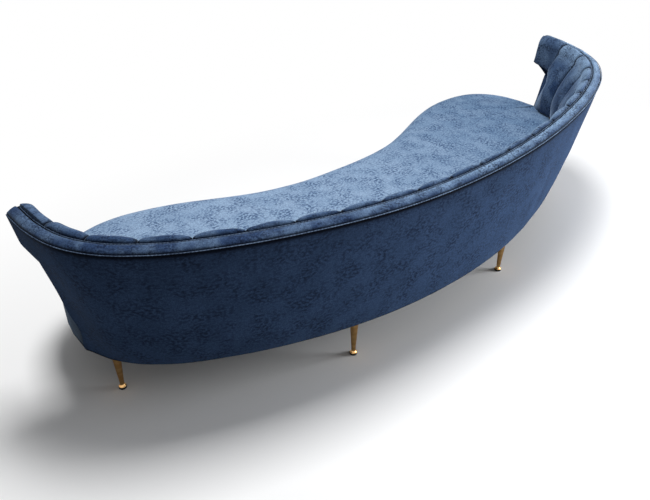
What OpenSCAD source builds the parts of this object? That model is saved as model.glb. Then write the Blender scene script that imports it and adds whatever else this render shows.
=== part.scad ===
// Crescent sofa with a channelled back, a short wing at each end and turned brass legs.
// Front faces -Y, the back is at +Y, and the floor is z = 0.

/* [Overall] */
// Width over the outer seams of the two ends
overall_w = 2920; // [2600:4:3200]
// Depth from the front of the lobes to the back of the outer piping
overall_d = 1080; // [980:4:1180]
// Height of the outer seam of the back at the middle
back_h = 702; // [660:1:760]
// Extra height of the outer seam at the two ends
back_rise = 70; // [20:1:90]
// Most that the outer back leans out between its foot and its top seam
back_flare = 140; // [90:1:170]

/* [Seat] */
// Height of the seat cover where the back pads stand on it
seat_h = 438; // [420:1:460]
// Rise of the seat's crown over that height
seat_crown = 16; // [6:1:24]
// Radius of the rolled front edge of the seat
seat_roll = 76; // [50:1:84]
// Thickness of the seat cover with its wadding
seat_cover_t = 28; // [20:1:36]
// Thickness of the seat foam
seat_foam_t = 92; // [70:1:96]
// Thickness of the plywood seat deck
deck_t = 9; // [6:1:12]

/* [Back] */
// Thickness of the outer back cover
cover_t = 3; // [2:0.5:4]
// Thickness of the bent outer back panels
panel_t = 6; // [4:0.5:8]
// Depth of the back from its outer face to the channel crests, at the seat
back_depth = 120; // [100:1:140]
// Width of the padded band along the top of the back
band_w = 43; // [36:1:52]
// Height of the band's inner seam over its outer seam
band_rise = 12; // [6:1:18]
// Crown of the band over the straight line between its seams
band_crown = 6; // [2:1:10]
// Thickness of the band's pad
band_t = 12; // [8:1:14]
// Radius of the piping cords
piping_r = 3; // [2:0.5:4]
// Thickness of the inner liner board
liner_t = 4; // [3:0.5:6]
// Height of the top rail
top_rail_h = 42; // [30:1:60]
// Width of one upright
upright_w = 24; // [18:1:30]

/* [Channels] */
// Number of sewn channels
channel_count = 19; // [15:2:23]
// Depth of the sewn valleys between the channels
channel_bulge = 22; // [10:1:26]
// Thickness of the pad behind the valleys
channel_back_t = 14; // [10:1:20]
// How far the channels roll out past the inner seam at the top
channel_roll = 35; // [28:1:42]
// How far the channel crests rise over the inner seam
channel_rise = 10; // [4:1:16]

/* [Wings] */
// Length of the smooth wing pad from the last channel to the tip
wing_len = 160; // [145:1:200]
// Length by which the wing stands past the end of the back below it
wing_reach = 130; // [110:1:140]
// Height of the wing's lower edge at the notch
wing_low = 625; // [600:1:645]
// How much higher that edge is at the wing's tip
wing_tilt = 17; // [0:1:30]
// Radius of the wing's lower free corner
wing_corner = 20; // [12:1:30]
// How much flatter the wing pad is than the channels
wing_sink = 14; // [0:1:18]
// How much more the channels roll at the wings than at the middle, of the roll at the middle
end_growth = 0.4; // [0:0.05:0.8]

/* [Base] */
// Height of the legs, from the floor to the leg plates' underside
leg_h = 180; // [150:1:200]
// Height of the rails
rail_h = 108; // [90:1:112]
// Thickness of the rails
rail_t = 30; // [22:1:36]
// Thickness of the leg plates
plate_t = 3; // [2:0.5:4]
// Width of the square leg plates
plate_w = 50; // [48:1:52]
// Thickness of the dust cover
dust_t = 1; // [0.5:0.5:2]
// Width of the square leg blocks
block_w = 54; // [52:1:56]
// Height of the leg blocks
block_h = 60; // [45:1:75]
// Distance of the back legs' axes from the outer face of the base
leg_inset = 38; // [38:1:50]
// Distance of the front legs' axes from the seat's front wall
front_leg_inset = 78; // [76:1:100]
// Height of the welt along the lower edge
welt_h = 5; // [3:0.5:8]
// Width of a cross rail
cross_rail_w = 24; // [18:1:30]

/* [Legs] */
// Radius of a leg at the top
leg_top_r = 18; // [15:0.5:22]
// Radius of a leg at its neck
leg_neck_r = 8; // [6:0.5:10]
// Radius of the flared foot
foot_r = 16; // [13:0.5:18]
// Height of the flared foot over the glide
foot_h = 15; // [10:1:20]
// Height of the glide
glide_h = 6; // [4:0.5:9]
// Radius of the glide
glide_r = 15; // [12:0.5:17]
// Radius of the stud on the leg
stud_r = 5; // [4:0.5:6]
// Length of the stud on the leg
stud_len = 32; // [24:1:40]
// Radius of the leg screws' shanks
screw_r = 2.25; // [1.5:0.25:3]
// Length of the leg screws over the plate's underside
screw_len = 34; // [24:1:42]
// Radius of the leg screws' heads
screw_head_r = 4; // [3:0.5:4]
// Height of the leg screws' heads
screw_head_h = 2.5; // [2:0.5:4]

/* [Clearances] */
// Gap between soft pieces
soft_gap = 0.4; // [0.3:0.1:0.6]
// Gap between fitted hard pieces
hard_gap = 0.2; // [0.1:0.1:0.4]

/* [Hidden] */
$fn = 48;
half_w = overall_w / 2;

// Plan of the outer top seam from the middle to the tip of a wing. Shares: x of half the width, y of the
// depth, lean of back_flare, rise of back_rise.
back_shares = [
    [0, 0.4972, 0.457, 0], [0.155, 0.4955, 0.52, 0.10], [0.316, 0.480, 0.65, 0.30],
    [0.483, 0.440, 0.79, 0.50], [0.659, 0.369, 0.92, 0.64], [0.833, 0.2525, 0.99, 0.72],
    [0.909, 0.168, 1, 0.75], [0.964, 0.060, 0.95, 0.79], [0.992, -0.068, 0.82, 0.88],
    [1, -0.186, 0.5, 1]];
// Plan of the seat's front wall from the middle round the lobe to the end of the back. Shares: x of half
// the width, y of the depth.
front_shares = [
    [0, -0.267], [0.083, -0.270], [0.171, -0.280], [0.261, -0.306], [0.342, -0.346], [0.425, -0.396],
    [0.514, -0.448], [0.603, -0.486], [0.685, -0.5], [0.760, -0.490], [0.825, -0.453],
    [0.873, -0.387], [0.903, -0.299], [0.9135, -0.208]];
// The lean of the outer back grows with the height to this power
flare_power_share = 1.35;

// Places of the back legs along the back, and of the front legs along the front, as shares of their runs
back_leg_shares = [-0.872, -0.26, 0.26, 0.872];
front_leg_shares = [-0.68, -0.27, 0.27, 0.68];
// Places of the cross rails, as shares of half the width
cross_rail_shares = [-0.72, -0.46, -0.2, 0.2, 0.46, 0.72];

// Curve helpers: a smooth curve through points, by slopes weighted with the chords
function chord(p, i) = norm([p[i + 1].x - p[i].x, p[i + 1].y - p[i].y]);
function slope(p, i) = (p[i + 1] - p[i]) / chord(p, i);
function knot_slope(p, i) =
    let (n = len(p) - 1)
    i == 0 ? slope(p, 0) : i == n ? slope(p, n - 1)
    : (slope(p, i - 1) * chord(p, i) + slope(p, i) * chord(p, i - 1)) / (chord(p, i) + chord(p, i - 1));
function bend(p, i, t) =
    let (h = chord(p, i), a = knot_slope(p, i), b = knot_slope(p, i + 1))
    p[i] * (2 * t ^ 3 - 3 * t ^ 2 + 1) + a * h * (t ^ 3 - 2 * t ^ 2 + t)
    + p[i + 1] * (3 * t ^ 2 - 2 * t ^ 3) + b * h * (t ^ 3 - t ^ 2);
function mirrored(p) =
    [for (i = [len(p) - 1 : -1 : 1]) concat([-p[i].x], [for (k = [1 : len(p[i]) - 1]) p[i][k]])];
// The right half of the smooth curve through the points and their mirror images
function half_curve(p, n) =
    let (all = concat(mirrored(p), p), m = len(p) - 1)
    [for (i = [m : 2 * m - 1], j = [0 : n - 1]) bend(all, i, j / n), all[2 * m]];
function run_lengths(p) =
    [for (i = 0, a = 0; i < len(p); a = i < len(p) - 1 ? a + chord(p, i) : a, i = i + 1) a];
function column(keys, p, k) = [for (i = [0 : len(p) - 1]) [keys[i], p[i][k]]];
function flip(v, s) = s < 0 ? [-v.x, v.y] : [v.x, v.y];
function spread(a, b, n) = [for (i = [0 : n]) a + (b - a) * i / n];
function last(p) = p[len(p) - 1];

// The back: tables over the run of the outer top seam, counted from the middle
curve_steps = 10;
back_curve = half_curve(
    [for (p = back_shares) [p[0] * half_w, p[1] * overall_d, p[2] * back_flare, p[3] * back_rise]],
    curve_steps);
back_run = run_lengths(back_curve);
tip_s = last(back_run);
back_x = column(back_run, back_curve, 0);
back_y = column(back_run, back_curve, 1);
back_lean = column(back_run, back_curve, 2);
back_z = column(back_run, back_curve, 3);
wing_s = tip_s - wing_corner;
end_s = tip_s - wing_reach;
back_steps = 48;
back_stations = spread(0, end_s, back_steps / 2);
half_stations = concat(back_stations, [wing_s, tip_s]);
probe = tip_s / 150;
function curve_at(s) = [lookup(s, back_x), lookup(s, back_y)];
function curve_before(s) = s < probe ? flip(curve_at(probe - s), -1) : curve_at(s - probe);
function curve_in(s) = let (v = curve_at(min(s + probe, tip_s)) - curve_before(s)) [v.y, -v.x] / norm(v);
function on_stations(k, p) = [for (i = [0 : len(half_stations) - 1]) [half_stations[i], p[i][k]]];
seam_points = [for (s = half_stations) curve_at(s)];
seam_normals = [for (s = half_stations) curve_in(s)];
seam_x = on_stations(0, seam_points);
seam_y = on_stations(1, seam_points);
normal_x = on_stations(0, seam_normals);
normal_y = on_stations(1, seam_normals);
lean_of = [for (s = half_stations) [s, lookup(s, back_lean)]];
rise_of = [for (s = half_stations) [s, lookup(s, back_z)]];
// From here on the back is flat between its stations, so that its layers fit one another
function seam(s) = flip([lookup(abs(s), seam_x), lookup(abs(s), seam_y)], s);
function inward(s) = flip([lookup(abs(s), normal_x), lookup(abs(s), normal_y)], s);
function lean(s) = lookup(abs(s), lean_of);
function top_z(s) = back_h + lookup(abs(s), rise_of);
function at(s, q, z) = let (p = seam(s) + inward(s) * q) [p.x, p.y, z];
function height_share(s, z) = max(0, (z - leg_h) / (top_z(s) - leg_h));
function outer_q(s, z) = lean(s) * (1 - height_share(s, z) ^ flare_power_share);
function outer(s, z, deep) = at(s, outer_q(s, z) + deep, z);

// Stations along the back
stations = concat([for (i = [len(half_stations) - 1 : -1 : 1]) -half_stations[i]], half_stations);
channel_s = tip_s - wing_len;
frame_end_s = end_s - cover_t - soft_gap;
piping_q = band_w + soft_gap + piping_r;
inner_run = run_lengths([for (s = back_run) at(s, piping_q, 0)]);
run_of_inner = [for (i = [0 : len(back_run) - 1]) [inner_run[i], back_run[i]]];
inner_of_run = [for (i = [0 : len(back_run) - 1]) [back_run[i], inner_run[i]]];
channel_inner_s = lookup(channel_s, inner_of_run);
function channel_edge(k) =
    let (t = channel_inner_s * (2 * k / channel_count - 1)) sign(t) * lookup(abs(t), run_of_inner);

// Inner face of the back
rear_top_q = piping_q + piping_r + soft_gap;
function crest_seat_q(s) = outer_q(s, seat_h) + back_depth;
function rear_seat_q(s) = crest_seat_q(s) - channel_bulge - channel_back_t;
function down_share(s, z) = min(1, max(0, (top_z(s) - z) / (top_z(s) - seat_h)));
function rear_q(s, z) = rear_top_q + (rear_seat_q(s) - rear_top_q) * down_share(s, z);
panel_q = cover_t + soft_gap;
frame_q = panel_q + panel_t + hard_gap;
liner_q = liner_t + soft_gap;
band_seat_z = band_t + hard_gap;
function band_q(s) = outer_q(s, top_z(s) - band_t) + panel_q;

// Levels of the base
trim_z = leg_h + welt_h;
dust_z = leg_h + plate_t + hard_gap;
rail_z = dust_z + dust_t + hard_gap;
deck_z = rail_z + rail_h + hard_gap;
foam_z = deck_z + deck_t + soft_gap;
foam_top = foam_z + seat_foam_t;
cavity_z = foam_top + soft_gap;
pad_z = seat_h + soft_gap;
// Levels that all the outer layers share, so that their flat facets agree
low_levels = 4;
function low_z(s) = wing_low + wing_tilt * max(0, (abs(s) - end_s) / (tip_s - end_s));
seam_drop = 1.5 * piping_r + soft_gap;
function shell_levels(s) = concat(
    spread(trim_z, low_z(s), low_levels),
    let (low = low_z(s) + wing_corner, high = top_z(s) - seam_drop) [low, (low + high) / 2, high]);
least_step = 1;
function levels_from(s, low, high) =
    concat([low], [for (v = shell_levels(s)) if (v > low + least_step && v < high - least_step) v], [high]);

// The seat's plan: front points from left to right, then back points from right to left
seat_steps = 44;
seat_fan = 7;
front_curve = half_curve([for (p = front_shares) [p[0] * half_w, p[1] * overall_d]], curve_steps);
front_run = run_lengths(front_curve);
front_len = last(front_run);
front_x = column(front_run, front_curve, 0);
front_y = column(front_run, front_curve, 1);
function front_at(s) = flip([lookup(abs(s), front_x), lookup(abs(s), front_y)], s);
function front_in(s) =
    let (t = abs(s), v = front_at(min(t + probe, front_len)) - front_at(t - probe))
    flip([-v.y, v.x] / norm(v), s);
seat_end_s = end_s + soft_gap;
seat_corner = outer(seat_end_s, leg_h, 2 * cover_t + piping_r);
function seat_front(i) =
    i == 0 ? flip(seat_corner, -1) : i == seat_steps ? flip(seat_corner, 1)
    : front_at(front_len * (2 * i - seat_steps) / (seat_steps - 2));
function seat_back(i) =
    let (s = seat_end_s * (2 * i / seat_steps - 1)) flip(at(s, rear_seat_q(s) + soft_gap, 0), 1);
seat_ids = [for (i = [0 : 2 * seat_steps + 1]) i];
function in_front(i) = i <= seat_steps;
function seat_pair(i) = in_front(i) ? i : 2 * seat_steps + 1 - i;
function seat_edge(i) = in_front(i) ? seat_front(i) : seat_back(seat_pair(i));
function mid_id(i) = max(seat_fan, min(seat_steps - seat_fan, seat_pair(i)));
function seat_mid(k) = (seat_front(k) + seat_back(k)) / 2;
function seat_inset(i, d) = let (p = seat_edge(i), v = seat_mid(mid_id(i)) - p) p + v / norm(v) * d;
function seat_ring(front, back) = [for (i = seat_ids)
    let (r = in_front(i) ? front : back, p = seat_inset(i, r[0])) [p.x, p.y, r[1]]];
function seat_plan(d) = [for (i = seat_ids) seat_inset(i, d)];
function front_plan(d) = [for (i = [0 : seat_steps]) seat_inset(i, d)];
back_ids = [for (i = [len(stations) - 1 : -1 : 0]) i];
function back_plan(deep, reach) =
    [for (i = back_ids) if (abs(stations[i]) <= end_s)
        let (s = max(-reach, min(reach, stations[i]))) flip(at(s, lean(s) + deep, 0), 1)];

// Solids: a skin over rings that run counter-clockwise seen from the last one, and a sheet over two grids.
// The ends of a skin are closed by triangles over one ring: a zip between its two sides, or a fan.
function zip(m) = concat(
    [for (j = [0 : m / 2 - 2]) [j, j + 1, m - 2 - j]], [for (j = [0 : m / 2 - 2]) [j, m - 2 - j, m - 1 - j]]);
function fan(m) = [for (j = [1 : m - 2]) [0, j, j + 1]];
function cap(caps, start) = [for (c = caps) [for (j = c) start + j]];
function turned(caps) = [for (c = caps) [c[2], c[1], c[0]]];
function bands(m, n) = concat(
    [for (i = [0 : n - 2], j = [0 : m - 1]) let (a = i * m + j, b = i * m + (j + 1) % m) [a, a + m, b]],
    [for (i = [0 : n - 2], j = [0 : m - 1]) let (a = i * m + j, b = i * m + (j + 1) % m) [b, a + m, b + m]]);
module skin(rings, caps) {
    m = len(rings[0]);
    n = len(rings);
    polyhedron(
        points = [for (r = rings, p = r) p],
        faces = concat(cap(caps, 0), bands(m, n), cap(turned(caps), (n - 1) * m)));
}
module sheet(near, far, keep) {
    n = len(near) - 1;
    m = len(near[0]);
    half = len(near) * m;
    cells = [for (i = [0 : n - 1], j = [0 : m - 2]) if (keep(i, j)) [i, j]];
    has = function (i, j) i >= 0 && j >= 0 && i < n && j < m - 1 && keep(i, j);
    id = function (i, j) i * m + j;
    rim = function (a, b) [[b, a, a + half], [b, a + half, b + half]];
    polyhedron(
        points = concat([for (r = near, p = r) p], [for (r = far, p = r) p]),
        faces = concat(
            [for (c = cells) let (a = id(c.x, c.y)) [a, a + m, a + m + 1]],
            [for (c = cells) let (a = id(c.x, c.y)) [a, a + m + 1, a + 1]],
            [for (c = cells) let (a = id(c.x, c.y) + half) [a, a + m + 1, a + m]],
            [for (c = cells) let (a = id(c.x, c.y) + half) [a, a + 1, a + m + 1]],
            [for (c = cells) let (a = id(c.x, c.y)) if (!has(c.x, c.y - 1)) each rim(a, a + m)],
            [for (c = cells) let (a = id(c.x, c.y)) if (!has(c.x + 1, c.y)) each rim(a + m, a + m + 1)],
            [for (c = cells) let (a = id(c.x, c.y)) if (!has(c.x, c.y + 1)) each rim(a + m + 1, a + 1)],
            [for (c = cells) let (a = id(c.x, c.y)) if (!has(c.x - 1, c.y)) each rim(a + 1, a)]));
}
module board(plan, z, t) translate([0, 0, z]) linear_extrude(t) polygon(plan);

// Outer back
// How far the wing's lower free corner moves in, as a share of its radius
corner_share = 0.3;
function cut_corner(s, z) =
    let (c = abs(s) == tip_s && z == low_z(s) ? wing_corner * corner_share : 0) [s - sign(s) * c, z + c];
module outer_back_cover() color([0.13, 0.18, 0.28]) {
    grid = function (deep) [for (s = stations)
        [for (z = shell_levels(s)) let (p = cut_corner(s, z)) outer(p[0], p[1], deep)]];
    last_cell = len(stations) - 2;
    sheet(grid(0), grid(cover_t), function (i, j) j >= low_levels || (i > 1 && i < last_cell - 1));
}
// The strip that closes the end of the back and the free edges of a wing
module end_cover(side) color([0.14, 0.19, 0.29]) {
    t = cover_t;
    path = concat(
        [for (j = [0 : low_levels - 1]) [end_s, shell_levels(end_s)[j], -t, 0]],
        [for (s = [end_s, wing_s]) [s, low_z(s), -t, t]],
        [concat(cut_corner(tip_s, low_z(tip_s)), [-t, t])],
        [for (j = [low_levels + 1 : low_levels + 3]) [tip_s, shell_levels(tip_s)[j], -t, 0]]);
    order = side > 0 ? [0 : len(path) - 1] : [len(path) - 1 : -1 : 0];
    across = function (s, z) [at(side * s, rear_q(s, z) - soft_gap, z), outer(side * s, z, panel_q)];
    sheet([for (i = order) let (p = path[i]) across(p[0], p[1])],
        [for (i = order) let (p = path[i]) across(p[0] + p[2], p[1] + p[3])], function (i, j) true);
}

panel_count = 6;
module back_panel(k) color([0.72, 0.58, 0.42]) {
    cells = back_steps / panel_count;
    first = k * cells - back_steps / 2;
    gap = hard_gap / 2;
    cuts = [for (i = [0 : cells]) let (s = end_s * 2 * (first + i) / back_steps)
        max(-frame_end_s, min(frame_end_s, i == 0 ? s + gap : i == cells ? s - gap : s))];
    rings = [for (s = cuts) let (z = levels_from(s, rail_z, top_z(s) - band_seat_z)) concat(
        [for (v = z) outer(s, v, panel_q)],
        [for (i = [len(z) - 1 : -1 : 0]) outer(s, z[i], panel_q + panel_t)])];
    skin(rings, zip(len(rings[0])));
}

// Top band with its two piping cords
band_start = piping_r + soft_gap;
// Cross-section of the band: shares of its width, of its rise and of its crown
band_shares = [[0, 0, 0], [0.18, 0.18, 0.7], [0.5, 0.5, 1], [0.82, 0.82, 0.7], [1, 1, 0]];
module top_band() color([0.30, 0.41, 0.56])
    skin([for (s = stations) let (w = band_w - band_start, z = top_z(s)) concat(
        [at(s, band_q(s), z - band_t)],
        [for (p = band_shares) at(s, band_start + p[0] * w, z + p[1] * band_rise + p[2] * band_crown)],
        [at(s, band_w, z)])], fan(len(band_shares) + 2));

piping_sides = 6;
module piping(q, rise) color([0.10, 0.14, 0.24])
    skin([for (s = stations) [for (j = [0 : piping_sides - 1]) let (a = 360 * j / piping_sides)
        at(s, q - piping_r * cos(a), top_z(s) + rise + piping_r * sin(a))]], fan(piping_sides));
module outer_piping() piping(0, -piping_r / 2);
module inner_piping() piping(piping_q, band_rise - piping_r / 2);

// Channel pads: shares of channel_roll and channel_rise down the roll, at a crest and at a valley
crest_shares = [[0, -0.6], [0.04, 0.4], [0.2, 0.95], [0.46, 1], [0.74, 0.3], [0.93, -1], [1, -2.8]];
valley_shares = [
    [0, -0.6], [0.02, -0.3], [0.08, -0.1], [0.18, -0.3], [0.3, -0.9], [0.36, -1.8], [0.38, -3.4]];
// Places across a channel and its height there: shares of half the width and of the bulge
arch_shares = [[-1, 0], [-0.86, 0.53], [-0.5, 0.88], [0, 1], [0.5, 0.88], [0.86, 0.53], [1, 0]];
function growth(s) = 1 + end_growth * (abs(s) / tip_s) ^ 3;
function roll_point(p, s) =
    [rear_top_q + p[0] * channel_roll * growth(s), top_z(s) + band_rise + p[1] * channel_rise * growth(s)];
// The rolled top of a pad at station s: swell goes from 0 in a valley to 1 on a crest
function pad_roll(s, swell) = [for (i = [0 : len(crest_shares) - 1])
    roll_point(valley_shares[i], s) * (1 - swell) + roll_point(crest_shares[i], s) * swell];
// The pad's face below the roll, at a height
function pad_q(s, swell, z) =
    let (end = last(pad_roll(s, swell)), foot = crest_seat_q(s) - channel_bulge * (1 - swell))
    end[0] + (foot - end[0]) * (end[1] - z) / (end[1] - pad_z);
face_steps = 3;
module channel(k) color([0.33, 0.45, 0.62]) {
    a = channel_edge(k) + soft_gap / 2;
    b = channel_edge(k + 1) - soft_gap / 2;
    turn = len(crest_shares) - 1;
    foot = turn + face_steps + 1;
    caps = concat(
        fan(turn + 1), [[0, turn, foot]], [for (j = [turn : foot - 2]) [foot, j, j + 1]]);
    skin([for (c = arch_shares) let (s = (a + b) / 2 + c[0] * (b - a) / 2, roll = pad_roll(s, c[1])) concat(
        [for (p = roll) at(s, p[0], p[1])],
        [for (i = [1 : face_steps]) let (z = last(roll)[1] + (pad_z - last(roll)[1]) * i / face_steps)
            at(s, pad_q(s, c[1], z), z)],
        [at(s, rear_seat_q(s), pad_z)])], caps);
}

// Wings: the smooth L-shaped pad and the core behind its free part
// How far the pad swells at each of its stations, as shares of the channels' bulge
wing_swell_shares = [0.35, 0.7, 0.9, 0.95, 0.7, 0.35];
// How much of the pad's thickness is left along its lower leg, from the last channel to the end of the back
leg_shares = [1, 0.75, 0.15];
module wing_pad(side) color([0.30, 0.41, 0.57]) {
    near_s = [channel_s + soft_gap / 2, (channel_s + end_s) / 2, end_s, (end_s + wing_s) / 2, wing_s, tip_s];
    face = [for (i = [0 : len(near_s) - 1])
        let (s = near_s[i], w = wing_swell_shares[i], sink = wing_sink * w, low = low_z(s),
            roll = pad_roll(s, w), high = last(roll)[1])
        concat(
            [for (z = [pad_z, (pad_z + low) / 2, low, low + wing_corner, (low + high) / 2])
                let (f = i < len(leg_shares) && z < low ? leg_shares[i] : 1, q = pad_q(s, w, z) - sink)
                [rear_q(s, z) + (q - rear_q(s, z)) * f, z]],
            [for (j = [len(roll) - 1 : -1 : 1]) [roll[j][0] - sink * j / (len(roll) - 1), roll[j][1]]])];
    rows = len(face[0]);
    roll_row = rows - len(crest_shares) + 1;
    rear = function (i, j)
        let (s = near_s[i], low = face[i][roll_row][1], high = roll_point(crest_shares[0], s)[1],
            z = j < roll_row ? face[i][j][1] : low + (high - low) * (j - roll_row) / (rows - 1 - roll_row))
        [rear_q(s, z), z];
    place = function (i, p) let (c = cut_corner(near_s[i], p[1])) at(side * c[0], p[0], c[1]);
    order = side > 0 ? [0 : len(near_s) - 1] : [len(near_s) - 1 : -1 : 0];
    sheet([for (i = order) [for (j = [0 : rows - 1]) place(i, rear(i, j))]],
        [for (i = order) [for (j = [0 : rows - 1]) place(i, face[i][j])]],
        function (i, j) j >= 2 || (side > 0 ? i < 2 : i > 2));
}
core_steps = 3;
module wing_core(side) color([0.80, 0.74, 0.60]) {
    a = end_s + soft_gap;
    b = tip_s - cover_t - soft_gap;
    foot = cover_t + soft_gap;
    head = band_seat_z + top_rail_h + hard_gap;
    lift = function (s) abs(s) < wing_s ? soft_gap : abs(s) == wing_s ? cover_t : wing_corner;
    rings = [for (s = side > 0 ? [a, wing_s, b] : [-b, -wing_s, -a])
        let (z = spread(low_z(s) + foot + lift(s), top_z(s) - head, core_steps)) concat(
            [for (v = z) outer(s, v, panel_q)],
            [for (i = [len(z) - 1 : -1 : 0]) at(s, rear_q(s, z[i]) - soft_gap, z[i])])];
    skin(rings, zip(len(rings[0])));
}

// Inner frame of the back
frame_stations = concat([-frame_end_s], [for (s = stations) if (abs(s) < frame_end_s) s], [frame_end_s]);
module inner_liner() color([0.66, 0.52, 0.36])
    skin([for (s = frame_stations) let (z = [seat_h, top_z(s) - band_seat_z]) [
        at(s, rear_q(s, z[0]) - liner_q, z[0]), at(s, rear_q(s, z[1]) - liner_q, z[1]),
        at(s, rear_q(s, z[1]) - soft_gap, z[1]), at(s, rear_q(s, z[0]) - soft_gap, z[0])]], zip(4));
module top_rail() color([0.78, 0.64, 0.45]) {
    b = tip_s - cover_t - soft_gap;
    inner = function (s, z) at(s, rear_q(s, z) - liner_q - hard_gap, z);
    skin([for (s = concat([-b], [for (s = stations) if (abs(s) < b) s], [b]))
        let (high = top_z(s) - band_seat_z, low = high - top_rail_h,
            lift = band_t * (frame_q - panel_q) / (band_w - band_q(s)))
        [outer(s, low, frame_q), outer(s, high, frame_q) + [0, 0, lift], at(s, band_w, top_z(s) - hard_gap),
            inner(s, high), inner(s, low)]], fan(5));
}
module upright(s) {
    z = levels_from(s, deck_z, top_z(s) - band_seat_z - top_rail_h - hard_gap);
    skin([for (d = [-upright_w / 2, upright_w / 2]) concat(
        [for (v = z) outer(s + d, v, frame_q)],
        [for (i = [len(z) - 1 : -1 : 0]) at(s + d, rear_q(s + d, z[i]) - liner_q - hard_gap, z[i])])],
        zip(2 * len(z)));
}
// Every fourth facet of the back has an upright at its middle
upright_pitch = 4;
module back_uprights() color([0.80, 0.66, 0.47])
    for (i = [0 : back_steps / upright_pitch - 1])
        upright(end_s * (2 * (i * upright_pitch + (upright_pitch + 1) / 2) / back_steps - 1));

// Legs and what they screw into
function turn_of(v) = atan2(v.y, v.x);
leg_places = concat(
    [for (f = back_leg_shares) let (s = f * tip_s)
        [flip(at(s, lean(s) + leg_inset, 0), 1), turn_of(inward(s))]],
    [for (f = front_leg_shares) let (s = f * front_len)
        [front_at(s) + front_in(s) * front_leg_inset, turn_of(front_in(s))]]);
module at_leg(k) translate(leg_places[k][0]) rotate([0, 0, leg_places[k][1]]) children();
module at_legs() for (k = [0 : len(leg_places) - 1]) at_leg(k) children();
module at_screws() {
    d = plate_w / 2 - 2 * screw_head_r;
    for (x = [-d, d], y = [-d, d]) translate([x, y, 0]) children();
}
// Outline of the flared foot: shares of its radius beyond the neck, and of its height
foot_shares = [[0.9, 0], [1, 0.12], [0.92, 0.3], [0.55, 0.5], [0.2, 0.75], [0, 1]];
module leg(k) color([0.70, 0.53, 0.32]) at_leg(k) rotate_extrude() polygon(concat(
    [[0, glide_h]],
    [for (p = foot_shares) [leg_neck_r + p[0] * (foot_r - leg_neck_r), glide_h + p[1] * foot_h]],
    let (top = leg_h - hard_gap) [[leg_top_r, top - plate_t], [leg_top_r, top], [stud_r, top],
        [stud_r, top + stud_len], [0, top + stud_len]]));
module glides() color([0.05, 0.05, 0.05]) at_legs() cylinder(r = glide_r, h = glide_h - hard_gap);
module leg_holes(gap) {
    translate([0, 0, leg_h - plate_t]) cylinder(r = stud_r + gap, h = stud_len + 2 * plate_t);
    at_screws() translate([0, 0, leg_h - plate_t]) cylinder(r = screw_r + gap, h = screw_len + 2 * plate_t);
}
module leg_plates() color([0.45, 0.46, 0.48]) at_legs() difference() {
    translate([-plate_w / 2, -plate_w / 2, leg_h]) cube([plate_w, plate_w, plate_t]);
    leg_holes(hard_gap);
}
module leg_screws() color([0.62, 0.62, 0.60]) at_legs() at_screws() translate([0, 0, leg_h - hard_gap]) {
    translate([0, 0, -screw_head_h]) cylinder(r = screw_head_r, h = screw_head_h);
    cylinder(r = screw_r, h = screw_len);
}
module block_shape(gap) translate([-block_w / 2 - gap, -block_w / 2 - gap, rail_z - gap])
    cube([block_w + 2 * gap, block_w + 2 * gap, block_h + 2 * gap]);
module leg_blocks() color([0.74, 0.60, 0.42]) at_legs() difference() {
    block_shape(0);
    leg_holes(hard_gap);
}

// Base frame, deck and seat
front_rail_d = seat_cover_t + soft_gap;
module cut_blocks() difference() {
    children();
    at_legs() block_shape(hard_gap);
}
function strip(a, b) = concat(a, [for (i = [len(b) - 1 : -1 : 0]) b[i]]);
module front_rail() color([0.80, 0.66, 0.46]) cut_blocks()
    board(strip(front_plan(front_rail_d), front_plan(front_rail_d + rail_t)), rail_z, rail_h);
module back_rail() color([0.80, 0.66, 0.46]) cut_blocks()
    board(strip(back_plan(frame_q, frame_end_s), back_plan(frame_q + rail_t, frame_end_s)), rail_z, rail_h);
module cross_rails() color([0.78, 0.62, 0.42]) cut_blocks() intersection() {
    let (d = rail_t + hard_gap)
        board(concat(front_plan(front_rail_d + d), back_plan(frame_q + d, frame_end_s)), rail_z, rail_h);
    for (f = cross_rail_shares) translate([f * half_w - cross_rail_w / 2, -overall_d / 2, rail_z])
        cube([cross_rail_w, overall_d, rail_h]);
}
module seat_deck() color([0.84, 0.72, 0.52]) board(seat_plan(front_rail_d), deck_z, deck_t);
module seat_foam() color([0.93, 0.88, 0.70]) board(seat_plan(front_rail_d), foam_z, seat_foam_t);
module dust_cover() color([0.12, 0.12, 0.13]) difference() {
    board(concat(front_plan(front_rail_d), back_plan(panel_q, frame_end_s)), dust_z, dust_t);
    at_legs() leg_holes(hard_gap);
}
module bottom_welt() color([0.06, 0.08, 0.16]) {
    board(strip(front_plan(0), front_plan(cover_t)), leg_h, welt_h);
    board(strip(back_plan(0, end_s), back_plan(cover_t, end_s)), leg_h, welt_h);
}
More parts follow.
